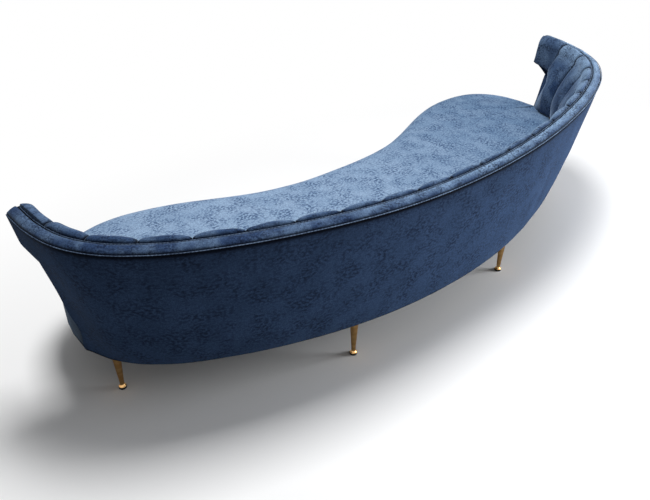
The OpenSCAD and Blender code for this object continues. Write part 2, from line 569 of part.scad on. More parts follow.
// Rolled front edge: shares of seat_roll inwards and down, then crown shares
module seat_cover() color([0.45, 0.58, 0.74]) {
    foot = channel_bulge + channel_back_t + soft_gap;
    wall_z = function (f) deck_z + (seat_h - deck_z) * f;
    edge = function (turn) [seat_roll * (1 - cos(turn)), seat_h - seat_roll * (1 - sin(turn))];
    rings = [
        seat_ring([seat_cover_t, cavity_z], [seat_cover_t, cavity_z]),
        seat_ring([seat_cover_t, trim_z], [seat_cover_t, deck_z + soft_gap]),
        seat_ring([0, trim_z], [0, deck_z + soft_gap]),
        seat_ring(edge(0), [0, wall_z(1 / 3)]),
        seat_ring(edge(30), [0, wall_z(2 / 3)]),
        seat_ring(edge(60), [0, seat_h]),
        seat_ring([seat_roll, seat_h + seat_crown * 0.35], [foot, seat_h]),
        seat_ring([2 * seat_roll, seat_h + seat_crown * 0.75],
            [foot + seat_roll, seat_h + seat_crown * 0.6])];
    m = len(seat_ids);
    n = len(rings);
    mids = [for (k = [seat_fan : seat_steps - seat_fan])
        let (p = seat_mid(k)) [p.x, p.y, seat_h + seat_crown]];
    top = function (j) n * m + mid_id(j % m) - seat_fan;
    rim = function (j) (n - 1) * m + j % m;
    polyhedron(
        points = concat([for (r = rings, p = r) p], mids),
        faces = concat(
            zip(m), bands(m, n),
            [for (j = [0 : m - 1]) [rim(j), top(j), rim(j + 1)]],
            [for (j = [0 : m - 1]) if (top(j) != top(j + 1)) [rim(j + 1), top(j), top(j + 1)]]));
}

channel_names = [for (k = [1 : channel_count]) str("channel_", k < 10 ? "0" : "", k)];
panel_names = [for (k = [1 : panel_count]) str("back_panel_", k)];
leg_names = ["leg_back_1", "leg_back_2", "leg_back_3", "leg_back_4",
    "leg_front_1", "leg_front_2", "leg_front_3", "leg_front_4"];

seat_cover();
seat_foam();
seat_deck();
front_rail();
back_rail();
cross_rails();
leg_blocks();
dust_cover();
bottom_welt();
leg_plates();
leg_screws();
glides();
for (k = [0 : len(leg_names) - 1]) leg(k);
for (k = [0 : panel_count - 1]) back_panel(k);
for (k = [0 : channel_count - 1]) channel(k);
back_uprights();
top_rail();
inner_liner();
wing_core(1);  // wing_core_left
wing_core(-1);  // wing_core_right
wing_pad(1);  // wing_pad_left
wing_pad(-1);  // wing_pad_right
top_band();
outer_piping();
inner_piping();
outer_back_cover();
end_cover(1);  // end_cover_left
end_cover(-1);  // end_cover_right
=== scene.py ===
"""Looks of the crescent channel-back sofa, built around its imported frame, in metres."""
import logging
import math
from dataclasses import dataclass, field
from enum import Enum

import bpy
import numpy as np
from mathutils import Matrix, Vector


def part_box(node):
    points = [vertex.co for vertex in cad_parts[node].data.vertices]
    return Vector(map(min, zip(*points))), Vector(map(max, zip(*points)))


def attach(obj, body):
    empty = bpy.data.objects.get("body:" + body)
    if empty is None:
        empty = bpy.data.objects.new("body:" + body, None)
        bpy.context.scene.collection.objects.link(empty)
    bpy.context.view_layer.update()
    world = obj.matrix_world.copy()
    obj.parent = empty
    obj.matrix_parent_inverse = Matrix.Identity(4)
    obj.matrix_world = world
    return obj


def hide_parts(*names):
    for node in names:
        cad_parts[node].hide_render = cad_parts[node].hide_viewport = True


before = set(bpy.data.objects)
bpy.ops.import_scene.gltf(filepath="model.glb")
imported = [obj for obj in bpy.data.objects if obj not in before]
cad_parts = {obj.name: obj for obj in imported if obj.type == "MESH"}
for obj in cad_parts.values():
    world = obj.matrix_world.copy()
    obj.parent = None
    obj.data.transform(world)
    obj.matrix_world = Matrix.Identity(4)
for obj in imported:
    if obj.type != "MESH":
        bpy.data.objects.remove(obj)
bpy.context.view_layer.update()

log = logging.getLogger("sofa")
Array = np.ndarray
Colour = tuple[float, float, float]
Place = tuple[float, float, float]
Socket = bpy.types.NodeSocket
Node = bpy.types.Node

BODY = "root"
# Most painted shade that a point takes
DARKEST = 0.95
MICRON = 1e-6
TINY = 1e-9


class Side(Enum):
    """The two ends of the sofa as its sitter names them, by the sign of X."""

    LEFT = 1
    RIGHT = -1

    def turned(self, *grids: Array) -> list[Array]:
        """Grids with their columns turned round on the right, so that their faces look outwards."""
        return [grid if self is Side.LEFT else grid[::-1] for grid in grids]


class Slot(Enum):
    """The record's material slots, one for each kind of piece here."""

    SEAT = "seat_velvet"
    BACK = "back_velvet"
    BAND = "band_velvet"
    OUTER = "outer_velvet"
    PIPING = "piping"
    BRASS = "brass"
    GLIDE = "glide"


def srgb(red: int, green: int, blue: int) -> Colour:
    """Turns a colour of 0 to 255 levels into the linear colour that a shader takes.

    Args:
        red: Level of red.
        green: Level of green.
        blue: Level of blue.

    Returns:
        The linear colour.
    """
    levels = [level / 255 for level in (red, green, blue)]
    return tuple(v / 12.92 if v <= 0.04045 else ((v + 0.055) / 1.055) ** 2.4 for v in levels)


def smooth_step(t: Array) -> Array:
    """Eases from 0 to 1 as t goes from 0 to 1."""
    t = np.clip(t, 0, 1)
    return t * t * (3 - 2 * t)


def bell(x: Array, width: float) -> Array:
    """1 at x = 0, falling off to both sides over a width."""
    return np.exp(-(x / width) ** 2)


def trail(x: Array, width: float) -> Array:
    """1 at x = 0, falling off with a long tail over a width."""
    return np.exp(-x / width)


def round_off(past: Array) -> Array:
    """Drop of a quarter circle of radius 1 at a distance past its start."""
    return 1 - np.sqrt(1 - past ** 2)


def run_along(points: Array) -> Array:
    """Length from the first of a row of points to each of them."""
    return np.concatenate([[0], np.cumsum(np.linalg.norm(np.diff(points, axis=0), axis=1))])


def waves(a: Array, b: Array, length: float, seed: int, count: int = 6) -> Array:
    """A smooth irregular field over two lengths, made of a few sine waves.

    Args:
        a: First coordinate, in metres.
        b: Second coordinate, in metres.
        length: Typical wave length.
        seed: Start of the random draws.
        count: Number of waves.

    Returns:
        Values of about -1 to 1.
    """
    draw = np.random.default_rng(seed)
    total = np.zeros(np.broadcast(a, b).shape)
    for _ in range(count):
        angle, phase = draw.uniform(0, 2 * math.pi, 2)
        turn = 2 * math.pi / (length * draw.uniform(0.7, 1.5))
        total = total + np.sin(turn * (a * math.cos(angle) + b * math.sin(angle)) + phase)
    return total / math.sqrt(2 * count)


def hermite_curve(points: Array, steps: int) -> Array:
    """Samples a smooth curve through points, its slopes weighted with the chords.

    Args:
        points: Rows whose first two columns are the place in plan.
        steps: Samples per stretch.

    Returns:
        The rows of the sampled curve.
    """
    chord = np.hypot(*np.diff(points[:, :2], axis=0).T)[:, None]
    slope = np.diff(points, axis=0) / chord
    inner = (slope[:-1] * chord[1:] + slope[1:] * chord[:-1]) / (chord[1:] + chord[:-1])
    knot = np.vstack([slope[:1], inner, slope[-1:]])
    t = (np.arange(steps) / steps)[None, :, None]
    start, end, reach = points[:-1, None], points[1:, None], chord[:, :, None]
    rows = (start * (2 * t ** 3 - 3 * t ** 2 + 1)
            + knot[:-1, None] * reach * (t ** 3 - 2 * t ** 2 + t)
            + end * (3 * t ** 2 - 2 * t ** 3)
            + knot[1:, None] * reach * (t ** 3 - t ** 2))
    return np.vstack([rows.reshape(-1, points.shape[1]), points[-1:]])


def smooth_rows(rows: Array, count: int) -> Array:
    """Resamples a short list of rows on a smooth curve through them.

    Args:
        rows: The rows, evenly counted.
        count: Number of rows wanted.

    Returns:
        The resampled rows.
    """
    t = np.linspace(0, len(rows) - 1, count)
    i = np.minimum(t.astype(int), len(rows) - 2)
    f = (t - i)[:, None]
    padded = np.vstack([2 * rows[0] - rows[1], rows, 2 * rows[-1] - rows[-2]])
    a, b, c, d = (padded[i + k] for k in range(4))
    return 0.5 * (2 * b + (c - a) * f + (2 * a - 5 * b + 4 * c - d) * f ** 2
                  + (3 * b - a - 3 * c + d) * f ** 3)


@dataclass
class MirroredCurve:
    """A plan curve that is its own mirror image in x = 0, addressed by its run from the middle.

    Attributes:
        half: Rows from the middle to the end at +X: x, y and further columns.
        steps: Samples per stretch.
        probes: How many times shorter than the curve the step for its direction is.
    """

    half: Array
    steps: int = 40
    probes: int = 150
    run: Array = field(init=False)
    table: Array = field(init=False)

    def __post_init__(self) -> None:
        """Samples the half at +X, with the other half before it for its slopes."""
        other = self.half[:0:-1].copy()
        other[:, 0] *= -1
        fine = hermite_curve(np.vstack([other, self.half]), self.steps)
        self.table = fine[len(other) * self.steps:]
        self.run = run_along(self.table[:, :2])

    @property
    def length(self) -> float:
        """Run from the middle to the end."""
        return float(self.run[-1])

    def column(self, s: Array, k: int) -> Array:
        """Values of column k at runs s; x has the sign of s."""
        value = np.interp(np.abs(s), self.run, self.table[:, k])
        return value * np.sign(s) if k == 0 else value

    def normal(self, s: Array, inward: int) -> tuple[Array, Array]:
        """Unit normals in plan.

        Args:
            s: Runs from the middle.
            inward: 1 for normals that turn left of the curve's direction, -1 for right.

        Returns:
            The x and y of the normals.
        """
        probe = self.length / self.probes
        before = np.clip(s - probe, -self.length, self.length)
        after = np.clip(s + probe, -self.length, self.length)
        dx, dy = (self.column(after, k) - self.column(before, k) for k in (0, 1))
        reach = np.hypot(dx, dy)
        return -inward * dy / reach, inward * dx / reach


@dataclass
class SofaForm:
    """The sofa's shape as functions of the run s, the depth q from the outer seam and the height z.

    Attributes:
        piping_r: Radius of the piping cords.
        flare: Most that the outer back leans out.
        flare_power: Growth of the lean with the height, at the wings.
        side_power: The same along the rest of the back.
        wings_from: Run at which the wings' growth sets in.
        wings_over: Run over which it sets in.
        back_depth: Depth from the outer face to the channel crests, at the seat.
        band_w: Width of the padded band.
        band_rise: Height of the inner seam over the outer one.
        bulge: Depth of the valleys between the channels.
        pad_t: Thickness of the pad behind the valleys.
        roll: How far the channels roll out past the inner seam.
        crest: How far the channel crests rise over the inner seam.
        end_from: Share of the run at which the ends set in, and over which they grow.
        end_growth: How much more the channels roll at the wings.
        end_roll: Further share of the crests' roll at the ends.
        end_valley: Further share of the valleys' roll at the ends.
        end_bulge: Further depth of the valleys at the ends.
        belly: How far the faces belly out at the ends.
        slant: How much the valleys fan out down the face.
        fan_high: Share of its way out that the last channel's side goes down to half height.
        fan_low: Further share of that way below half height.
        end_power: How boxy the last channels' free sides are.
        end_left: Share of their thickness that is left at the free edge.
        thin_over: Height over the wing's lower edge where they start to thin.
        thin_h: Height over which they thin.
        wing_len: Length of the wing pad.
        wing_reach: Length of the wing past the end of the back below it.
        end_pinch: How far the back's end draws in above the base.
        waist_z: Height of that waist over the base.
        waist_h: Height over which it fades.
        under_wing: Share of the pinch that is left under the wing.
        under_h: Height over which it grows from the wing down.
        end_corner: Radius of the lower corner of the back's end.
        wing_low: Height of the wing's lower edge at the notch.
        wing_tilt: How much higher that edge is at the tip.
        wing_corner: Radius of the wing's lower corner.
        gap: Gap between soft pieces.
        cover_t: Thickness of the outer cover.
        channels: Number of channels.
    """

    piping_r: float = 0.003
    flare: float = 0.140
    flare_power: float = 1.35
    side_power: float = 0.72
    wings_from: float = 1.45
    wings_over: float = 0.28
    back_depth: float = 0.120
    band_w: float = 0.043
    band_rise: float = 0.012
    bulge: float = 0.022
    pad_t: float = 0.014
    roll: float = 0.035
    crest: float = 0.010
    end_from: float = 0.45
    end_growth: float = 0.4
    end_roll: float = 0.2
    end_valley: float = 1.2
    end_bulge: float = 0.011
    belly: float = 0.055
    slant: float = 0.03
    fan_high: float = 0.2
    fan_low: float = 0.6
    end_power: float = 1.4
    end_left: float = 0.03
    thin_over: float = 0.07
    thin_h: float = 0.09
    wing_len: float = 0.165
    wing_reach: float = 0.088
    end_pinch: float = 0.022
    waist_z: float = 0.10
    waist_h: float = 0.06
    under_wing: float = 0.4
    under_h: float = 0.16
    end_corner: float = 0.012
    wing_low: float = 0.606
    wing_tilt: float = 0.039
    wing_corner: float = 0.014
    gap: float = 0.0004
    cover_t: float = 0.003
    channels: int = 19
    back: MirroredCurve = field(init=False)
    inner_run: Array = field(init=False)

    # Shares of the outer top seam, from the middle to a wing's tip: half width, depth, lean, rise
    BACK_SHARES = ((0, 0.4972, 0.457, 0), (0.155, 0.4955, 0.52, 0.10), (0.316, 0.480, 0.65, 0.30),
                   (0.483, 0.440, 0.79, 0.50), (0.659, 0.369, 0.92, 0.64),
                   (0.833, 0.2525, 0.99, 0.72), (0.909, 0.168, 1, 0.75), (0.964, 0.060, 0.95, 0.79),
                   (0.992, -0.068, 0.82, 0.88), (1, -0.186, 0.5, 1))
    # Shares of the channels' roll and rise down the roll, on a crest and in a valley
    CREST = ((0, -0.6), (0.04, 0.4), (0.2, 0.95), (0.46, 1), (0.74, 0.3), (0.93, -1), (1, -2.8))
    VALLEY = ((0, -0.6), (0.02, -0.3), (0.08, -0.1), (0.18, -0.3), (0.3, -0.9), (0.36, -1.8),
              (0.38, -3.4))

    def __post_init__(self) -> None:
        """Reads the driving sizes from the frame and samples the seam."""
        low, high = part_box("outer_piping")
        hexagon = self.piping_r * math.sin(math.radians(60))
        self.half_w = high.x - self.piping_r
        self.depth = -2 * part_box("seat_cover")[0].y
        self.back_h = low.z + self.piping_r / 2 + hexagon
        self.rise = high.z - low.z - 2 * hexagon
        self.base_z, self.trim_z = (corner.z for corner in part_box("bottom_welt"))
        self.pad_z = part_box(f"channel_{(self.channels + 1) // 2:02d}")[0].z
        self.seat_h = self.pad_z - self.gap
        scale = np.array([self.half_w, self.depth, self.flare, self.rise])
        self.back = MirroredCurve(np.array(self.BACK_SHARES, float) * scale)
        self.tip_s = self.back.length
        self.end_s = self.tip_s - self.wing_reach
        self.channel_s = self.tip_s - self.wing_len
        self.piping_q = self.band_w + self.gap + self.piping_r
        self.rear_top_q = self.piping_q + self.piping_r + self.gap
        self.inner_run = run_along(self.at(self.back.run, self.piping_q, 0)[:, :2])

    def at(self, s: Array, q: Array, z: Array) -> Array:
        """Points of the sofa in space.

        Args:
            s: Runs from the middle.
            q: Depths from the outer seam.
            z: Heights.

        Returns:
            The points, with a last axis of 3.
        """
        s, q, z = np.broadcast_arrays(*(np.asarray(v, float) for v in (s, q, z)))
        nx, ny = self.back.normal(s, -1)
        return np.stack([self.back.column(s, 0) + nx * q, self.back.column(s, 1) + ny * q, z], -1)

    def top(self, s: Array) -> Array:
        """Height of the outer seam."""
        return self.back_h + self.back.column(s, 3)

    def cover_top(self, s: Array) -> Array:
        """Height of the outer cover's upper edge, under the outer piping."""
        return self.top(s) - 1.5 * self.piping_r - self.gap

    def outer_q(self, s: Array, z: Array) -> Array:
        """Depth of the outer face under the outer seam.

        Args:
            s: Runs from the middle.
            z: Heights.

        Returns:
            The depths.
        """
        share = np.maximum(0, (z - self.base_z) / (self.top(s) - self.base_z))
        wings = smooth_step((np.abs(s) - self.wings_from) / self.wings_over)
        power = self.side_power + (self.flare_power - self.side_power) * wings
        return self.back.column(s, 2) * (1 - share ** power)

    def crest_seat_q(self, s: Array) -> Array:
        """Depth of the channel crests at the seat."""
        return self.outer_q(s, np.full_like(np.asarray(s, float), self.seat_h)) + self.back_depth

    def rear_seat_q(self, s: Array) -> Array:
        """Depth of the pads' rear at the seat."""
        return self.crest_seat_q(s) - self.bulge - self.pad_t

    def rear_q(self, s: Array, z: Array) -> Array:
        """Depth of the pads' rear at a height."""
        down = np.clip((self.top(s) - z) / (self.top(s) - self.seat_h), 0, 1)
        return self.rear_top_q + (self.rear_seat_q(s) - self.rear_top_q) * down

    def end_line(self, z: Array) -> Array:
        """Run at which the back ends, with its waist above the base and its lower corner.

        Args:
            z: Heights.

        Returns:
            The runs.
        """
        waist = bell(z - self.base_z - self.waist_z, self.waist_h)
        under = self.under_wing * smooth_step((self.wing_low - z) / self.under_h)
        low = np.clip(1 - (z - self.base_z) / self.end_corner, 0, 1)
        return self.end_s - self.end_pinch * (waist + under) - self.end_corner * round_off(low)

    def low_z(self, s: Array) -> Array:
        """Height of the wing's lower edge, before its corner is rounded."""
        past = np.maximum(0, (np.abs(s) - self.end_s) / self.wing_reach)
        return self.wing_low + self.wing_tilt * past

    def wing_edge(self, s: Array) -> Array:
        """Height of the wing's lower edge with its rounded corner."""
        past = (np.abs(s) - (self.tip_s - self.wing_corner)) / self.wing_corner
        return self.low_z(s) + self.wing_corner * round_off(np.clip(past, 0, 1))

    def growth(self, s: Array) -> Array:
        """How much larger the roll is towards the wings."""
        return 1 + self.end_growth * (np.abs(s) / self.tip_s) ** 3

    def ends(self, s: Array) -> Array:
        """How near the ends of the back a run is: 0 along the middle, 1 at the last channels."""
        return smooth_step((np.abs(s) / self.tip_s - self.end_from) / self.end_from)

    def roll_rows(self, s: Array, swell: Array, count: int) -> tuple[Array, Array]:
        """The rolled top of a pad.

        Args:
            s: Runs, one per section.
            swell: 0 in a valley to 1 on a crest, one per section.
            count: Points down the roll.

        Returns:
            Depths and heights, sections by points.
        """
        crest, valley = (smooth_rows(np.array(rows, float), count)
                         for rows in (self.CREST, self.VALLEY))
        full = swell[:, None]
        mixed = valley[None] * (1 - full[..., None]) + crest[None] * full[..., None]
        grow = self.growth(s)[:, None]
        wide = 1 + (self.end_roll * full + self.end_valley * (1 - full)) * self.ends(s)[:, None]
        q = self.rear_top_q + mixed[:, :, 0] * self.roll * grow * wide
        z = self.top(s)[:, None] + self.band_rise + mixed[:, :, 1] * self.crest * grow
        return q, z

    def face_rows(self, s: Array, swell: Array, count: int, face: int) -> tuple[Array, Array]:
        """The front of a pad: its roll, then its face down to the seat.

        Args:
            s: Runs, one per section.
            swell: 0 in a valley to 1 on a crest, one per section.
            count: Points down the roll.
            face: Points down the face.

        Returns:
            Depths and heights, sections by points.
        """
        q, z = self.roll_rows(s, swell, count)
        t = np.linspace(0, 1, face + 1)[None, 1:]
        end, full = self.ends(s)[:, None], swell[:, None]
        foot = self.crest_seat_q(s)[:, None] - (self.bulge + self.end_bulge * end) * (1 - full)
        belly = self.belly * end * (4 * t * (1 - t)) * (0.5 + 0.5 * full)
        deep = q[:, -1:] + (foot - q[:, -1:]) * t + belly
        tall = z[:, -1:] + (self.pad_z - z[:, -1:]) * t
        return np.concatenate([q, deep], 1), np.concatenate([z, tall], 1)

    def thinned(self, k: int, u: Array, q: Array, z: Array, rear: Array) -> Array:
        """Thins the last channels towards the free ends of the back, below the wings.

        Args:
            k: Number of the channel from 0.
            u: Place across the channel, -1 to 1, one per section.
            q: Depths of its front.
            z: Heights of its front.
            rear: Depths of its rear.

        Returns:
            The new depths of the front.
        """
        if 0 < k < self.channels - 1:
            return q
        out = np.clip(u if k else -u, 0, 1)[:, None]
        down = smooth_step((self.wing_low + self.thin_over - z) / self.thin_h)
        left = np.sqrt(np.maximum(0, 1 - out ** self.end_power))
        return rear + (q - rear) * (1 - (1 - left) * down * (1 - self.end_left))

    def fanned(self, k: int, z: Array) -> Array:
        """Run of the valley before channel k at a height: the valleys fan out towards the ends.

        Args:
            k: Number of the valley.
            z: Heights.

        Returns:
            The runs.
        """
        edge = self.channel_edge(k)
        top = self.top(edge)
        down = np.clip((top + self.band_rise - z) / (top - self.seat_h), 0, 1)
        if k in (0, self.channels):
            out = self.fan_high * smooth_step(2 * down) + self.fan_low * smooth_step(2 * down - 1)
            way = self.end_line(z) - self.cover_t - abs(edge)
            return math.copysign(1, edge) * (abs(edge) + way * out)
        return edge * (1 - self.slant * down * (abs(edge) / self.channel_s) ** 2)

    def channel_edge(self, k: int) -> float:
        """Run of the valley before channel k, the channels being equal along the inner seam.

        Args:
            k: Number of the valley.

        Returns:
            Its run.
        """
        end = np.interp(self.channel_s, self.back.run, self.inner_run)
        t = end * (2 * k / self.channels - 1)
        return math.copysign(float(np.interp(abs(t), self.inner_run, self.back.run)), t)


@dataclass
class Piece:
    """A mesh in the making: points, faces and fabric values at each point.

    Attributes:
        points: The vertices.
        faces: Lists of vertex numbers.
        cloth: Along and across in metres, painted shade and painted sheen.
    """

    points: Array
    faces: list[list[int]]
    cloth: Array

    def welded(self) -> "Piece":
        """Makes points that share a place one, and drops the faces that fall flat.

        Returns:
            The welded piece.
        """
        _, first, number = np.unique(np.round(self.points, 6), axis=0, return_index=True,
                                     return_inverse=True)
        number = number.ravel()
        faces = []
        for face in self.faces:
            kept = [int(number[v]) for v in face]
            kept = [v for k, v in enumerate(kept) if v != kept[k - 1]]
            if len(kept) > 2:
                faces.append(kept)
        return Piece(self.points[first], faces, self.cloth[first])

    def build(self, name: str, finish: "Finish", slot: Slot, stands_for: tuple[str, ...],
              sharp: float = 50) -> bpy.types.Object:
        """Makes the object, dresses it and lets it ride with the sofa.

        Args:
            name: The piece's name.
            finish: Its material.
            slot: Its slot of the record; not used.
            stands_for: CAD nodes that it replaces.
            sharp: Angle in degrees over which an edge is sharp.

        Returns:
            The new object.
        """
        mesh = bpy.data.meshes.new(name)
        mesh.from_pydata(self.points.tolist(), [], self.faces)
        mesh.polygons.foreach_set("use_smooth", [True] * len(mesh.polygons))
        layer = mesh.uv_layers.new(name="cloth")
        corners = np.zeros(len(mesh.loops), int)
        mesh.loops.foreach_get("vertex_index", corners)
        layer.data.foreach_set("uv", self.cloth[corners, :2].ravel())
        # The painted shade and the painted sheen go to the mesh as point attributes
        for k, key in ((2, "crease"), (3, "nap")):
            values = mesh.attributes.new(key, "FLOAT", "POINT")
            numbers = np.ascontiguousarray(self.cloth[:, k], dtype=np.float32)
            values.data.foreach_set("value", numbers)
        mesh.set_sharp_from_angle(angle=math.radians(sharp))
        mesh.materials.append(finish.material())
        piece = bpy.data.objects.new(name, mesh)
        bpy.context.scene.collection.objects.link(piece)
        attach(piece, BODY)
        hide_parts(*stands_for)
        log.info("piece %s: %d faces", name, len(self.faces))
        return piece


def fabric(along: Array, across: Array, crease: Array | float, nap: Array | float = 0) -> Array:
    """Puts the fabric values of a grid together.

    Args:
        along: Metres along the cloth.
        across: Metres across it.
        crease: How much painted shade each point takes.
        nap: How much painted sheen each point takes.

    Returns:
        The values, with a last axis of 4.
    """
    return np.stack(np.broadcast_arrays(along, across, crease, nap), -1).astype(float)


def loft(rings: Array, cloth: Array, capped: bool = True) -> Piece:
    """Skins a row of closed rings.

    Args:
        rings: Rings by points by 3.
        cloth: Fabric values of the rings' points.
        capped: Whether the first and last rings are closed by fans.

    Returns:
        The piece.
    """
    n, m = rings.shape[:2]
    faces = []
    for i in range(n - 1):
        for j in range(m):
            a, b = i * m + j, i * m + (j + 1) % m
            faces.append([a, a + m, b + m, b])
    points, uv = rings.reshape(-1, 3), cloth.reshape(-1, 4)
    if capped:
        centres = np.stack([rings[0].mean(0), rings[-1].mean(0)])
        uv = np.vstack([uv, cloth[0].mean(0), cloth[-1].mean(0)])
        first, last = n * m, (n - 1) * m
        points = np.vstack([points, centres])
        faces += [[first, j, (j + 1) % m] for j in range(m)]
        faces += [[first + 1, last + (j + 1) % m, last + j] for j in range(m)]
    return Piece(points, faces, uv)


def shell(near: Array, far: Array, cloth: Array, keep: Array | None = None) -> Piece:
    """A closed shell between two grids, with an outline that a mask gives.

    Args:
        near: The outer grid, columns by rows by 3.
        far: The inner grid.
        cloth: Fabric coordinates of the grid.
        keep: Which cells are there, one less each way; all of them where it is left out.

    Returns:
        The piece.
    """
    n, m = near.shape[:2]
    half = n * m
    faces = []
    there = np.zeros((n + 1, m + 1), bool)
    there[1:-1, 1:-1] = True if keep is None else keep
    for i, j in np.argwhere(there[1:-1, 1:-1]).tolist():
        a, b, c, d = i * m + j, (i + 1) * m + j, (i + 1) * m + j + 1, i * m + j + 1
        faces += [[a, b, c, d], [d + half, c + half, b + half, a + half]]
        rims = ((a, b, there[i + 1, j]), (b, c, there[i + 2, j + 1]),
                (c, d, there[i + 1, j + 2]), (d, a, there[i, j + 1]))
        faces += [[e, v, v + half, e + half] for v, e, joined in rims if not joined]
    used = sorted({v for face in faces for v in face})
    number = {v: k for k, v in enumerate(used)}
    points = np.vstack([near.reshape(-1, 3), far.reshape(-1, 3)])[used]
    uv = np.vstack([cloth.reshape(-1, 4)] * 2)[used]
    return Piece(points, [[number[v] for v in face] for face in faces], uv)


def cord(line: Array, radius: float, run: Array, nap: Array | float = 0, sides: int = 10) -> Piece:
    """A round cord along a line.

    Args:
        line: Points of the cord's middle.
        radius: The cord's radius.
        run: Run of each point.
        nap: How much painted sheen each point takes.
        sides: Sides of the cross-section.

    Returns:
        The piece.
    """
    along = np.gradient(line, axis=0)
    along /= np.linalg.norm(along, axis=1)[:, None]
    across = np.cross(along, [0.0, 0.0, 1.0])
    across /= np.linalg.norm(across, axis=1)[:, None]
    up = np.cross(across, along)
    angle = np.arange(sides) * 2 * math.pi / sides
    rings = line[:, None] + radius * (across[:, None] * np.cos(angle)[None, :, None]
                                      + up[:, None] * np.sin(angle)[None, :, None])
    return loft(rings, fabric(run[:, None], radius * angle[None], 0, np.reshape(nap, (-1, 1))))


class Wiring:
    """Adds the nodes of one tree and joins them."""

    def __init__(self, tree: bpy.types.NodeTree) -> None:
        """Takes the tree of a material, a world or a group.

        Args:
            tree: The node tree.
        """
        self.tree = tree

    def add(self, kind: str, inputs: dict[str, object] | None = None, **settings: object) -> Node:
        """Adds a node.

        Args:
            kind: The node's type, without its ShaderNode.
            inputs: Socket names, and the constants or sockets that feed them.
            settings: The node's own settings.

        Returns:
            The node.
        """
        node = self.tree.nodes.new(f"ShaderNode{kind}")
        for key, value in settings.items():
            setattr(node, key, value)
        for key, value in (inputs or {}).items():
            self.feed(node.inputs[key], value)
        return node

    def feed(self, socket: Socket, value: object) -> None:
        """Feeds a socket with another node's output, or sets it to a constant.

        Args:
            socket: The input socket.
            value: An output socket, a number, or a colour of three levels.
        """
        if isinstance(value, Socket):
            self.tree.links.new(value, socket)
        elif socket.type == "RGBA":
            socket.default_value = (*value, 1)
        else:
            socket.default_value = value

    def noise(self, source: Socket, scale: float, detail: float,
              stretch: Place = (1, 1, 1)) -> Socket:
        """Adds a noise over stretched coordinates.

        Args:
            source: Coordinates in metres.
            scale: Waves per metre.
            detail: Octaves.
            stretch: Factors on the coordinates.

        Returns:
            The noise's value.
        """
        place = self.add("Mapping", {"Vector": source, "Scale": stretch})
        field_node = self.add("TexNoise", {"Vector": place.outputs["Vector"], "Scale": scale,
                                           "Detail": detail})
        return field_node.outputs["Fac"]

    def fade(self, source: Socket, low: float, high: float, floor: float = 0,
             ceiling: float = 1) -> Socket:
        """Maps a value from low..high to floor..ceiling, smoothly and clamped.

        Args:
            source: The value.
            low: Value that becomes floor.
            high: Value that becomes ceiling.
            floor: Result at low.
            ceiling: Result at high.

        Returns:
            The mapped value.
        """
        ramp = self.add("MapRange", {"Value": source, "From Min": low, "From Max": high,
                                     "To Min": floor, "To Max": ceiling},
                        interpolation_type="SMOOTHSTEP")
        return ramp.outputs["Result"]

    def calc(self, operation: str, a: Socket, b: Socket | float) -> Socket:
        """Adds a Math node.

        Args:
            operation: Name of the operation.
            a: First value.
            b: Second value, a socket or a number.

        Returns:
            The result.
        """
        node = self.add("Math", operation=operation)
        self.feed(node.inputs[0], a)
        self.feed(node.inputs[1], b)
        return node.outputs["Value"]

    def blend(self, share: Socket, a: Socket, b: Socket | Colour) -> Socket:
        """Mixes colour a towards colour b.

        Args:
            share: 0 for a, 1 for b.
            a: First colour.
            b: Second colour, a socket or three levels.

        Returns:
            The mixed colour.
        """
        mix = self.add("Mix", {"Factor": share}, data_type="RGBA")
        self.feed(mix.inputs[6], a)
        self.feed(mix.inputs[7], b)
        return mix.outputs[2]

    def blend_shaders(self, share: Socket, a: Node, b: Node) -> Node:
        """Mixes shader a towards shader b.

        Args:
            share: 0 for a, 1 for b.
            a: Node of the first shader.
            b: Node of the second shader.

        Returns:
            The node of the mixed shader.
        """
        mix = self.add("MixShader", {"Fac": share})
        self.feed(mix.inputs[1], a.outputs[0])
        self.feed(mix.inputs[2], b.outputs[0])
        return mix


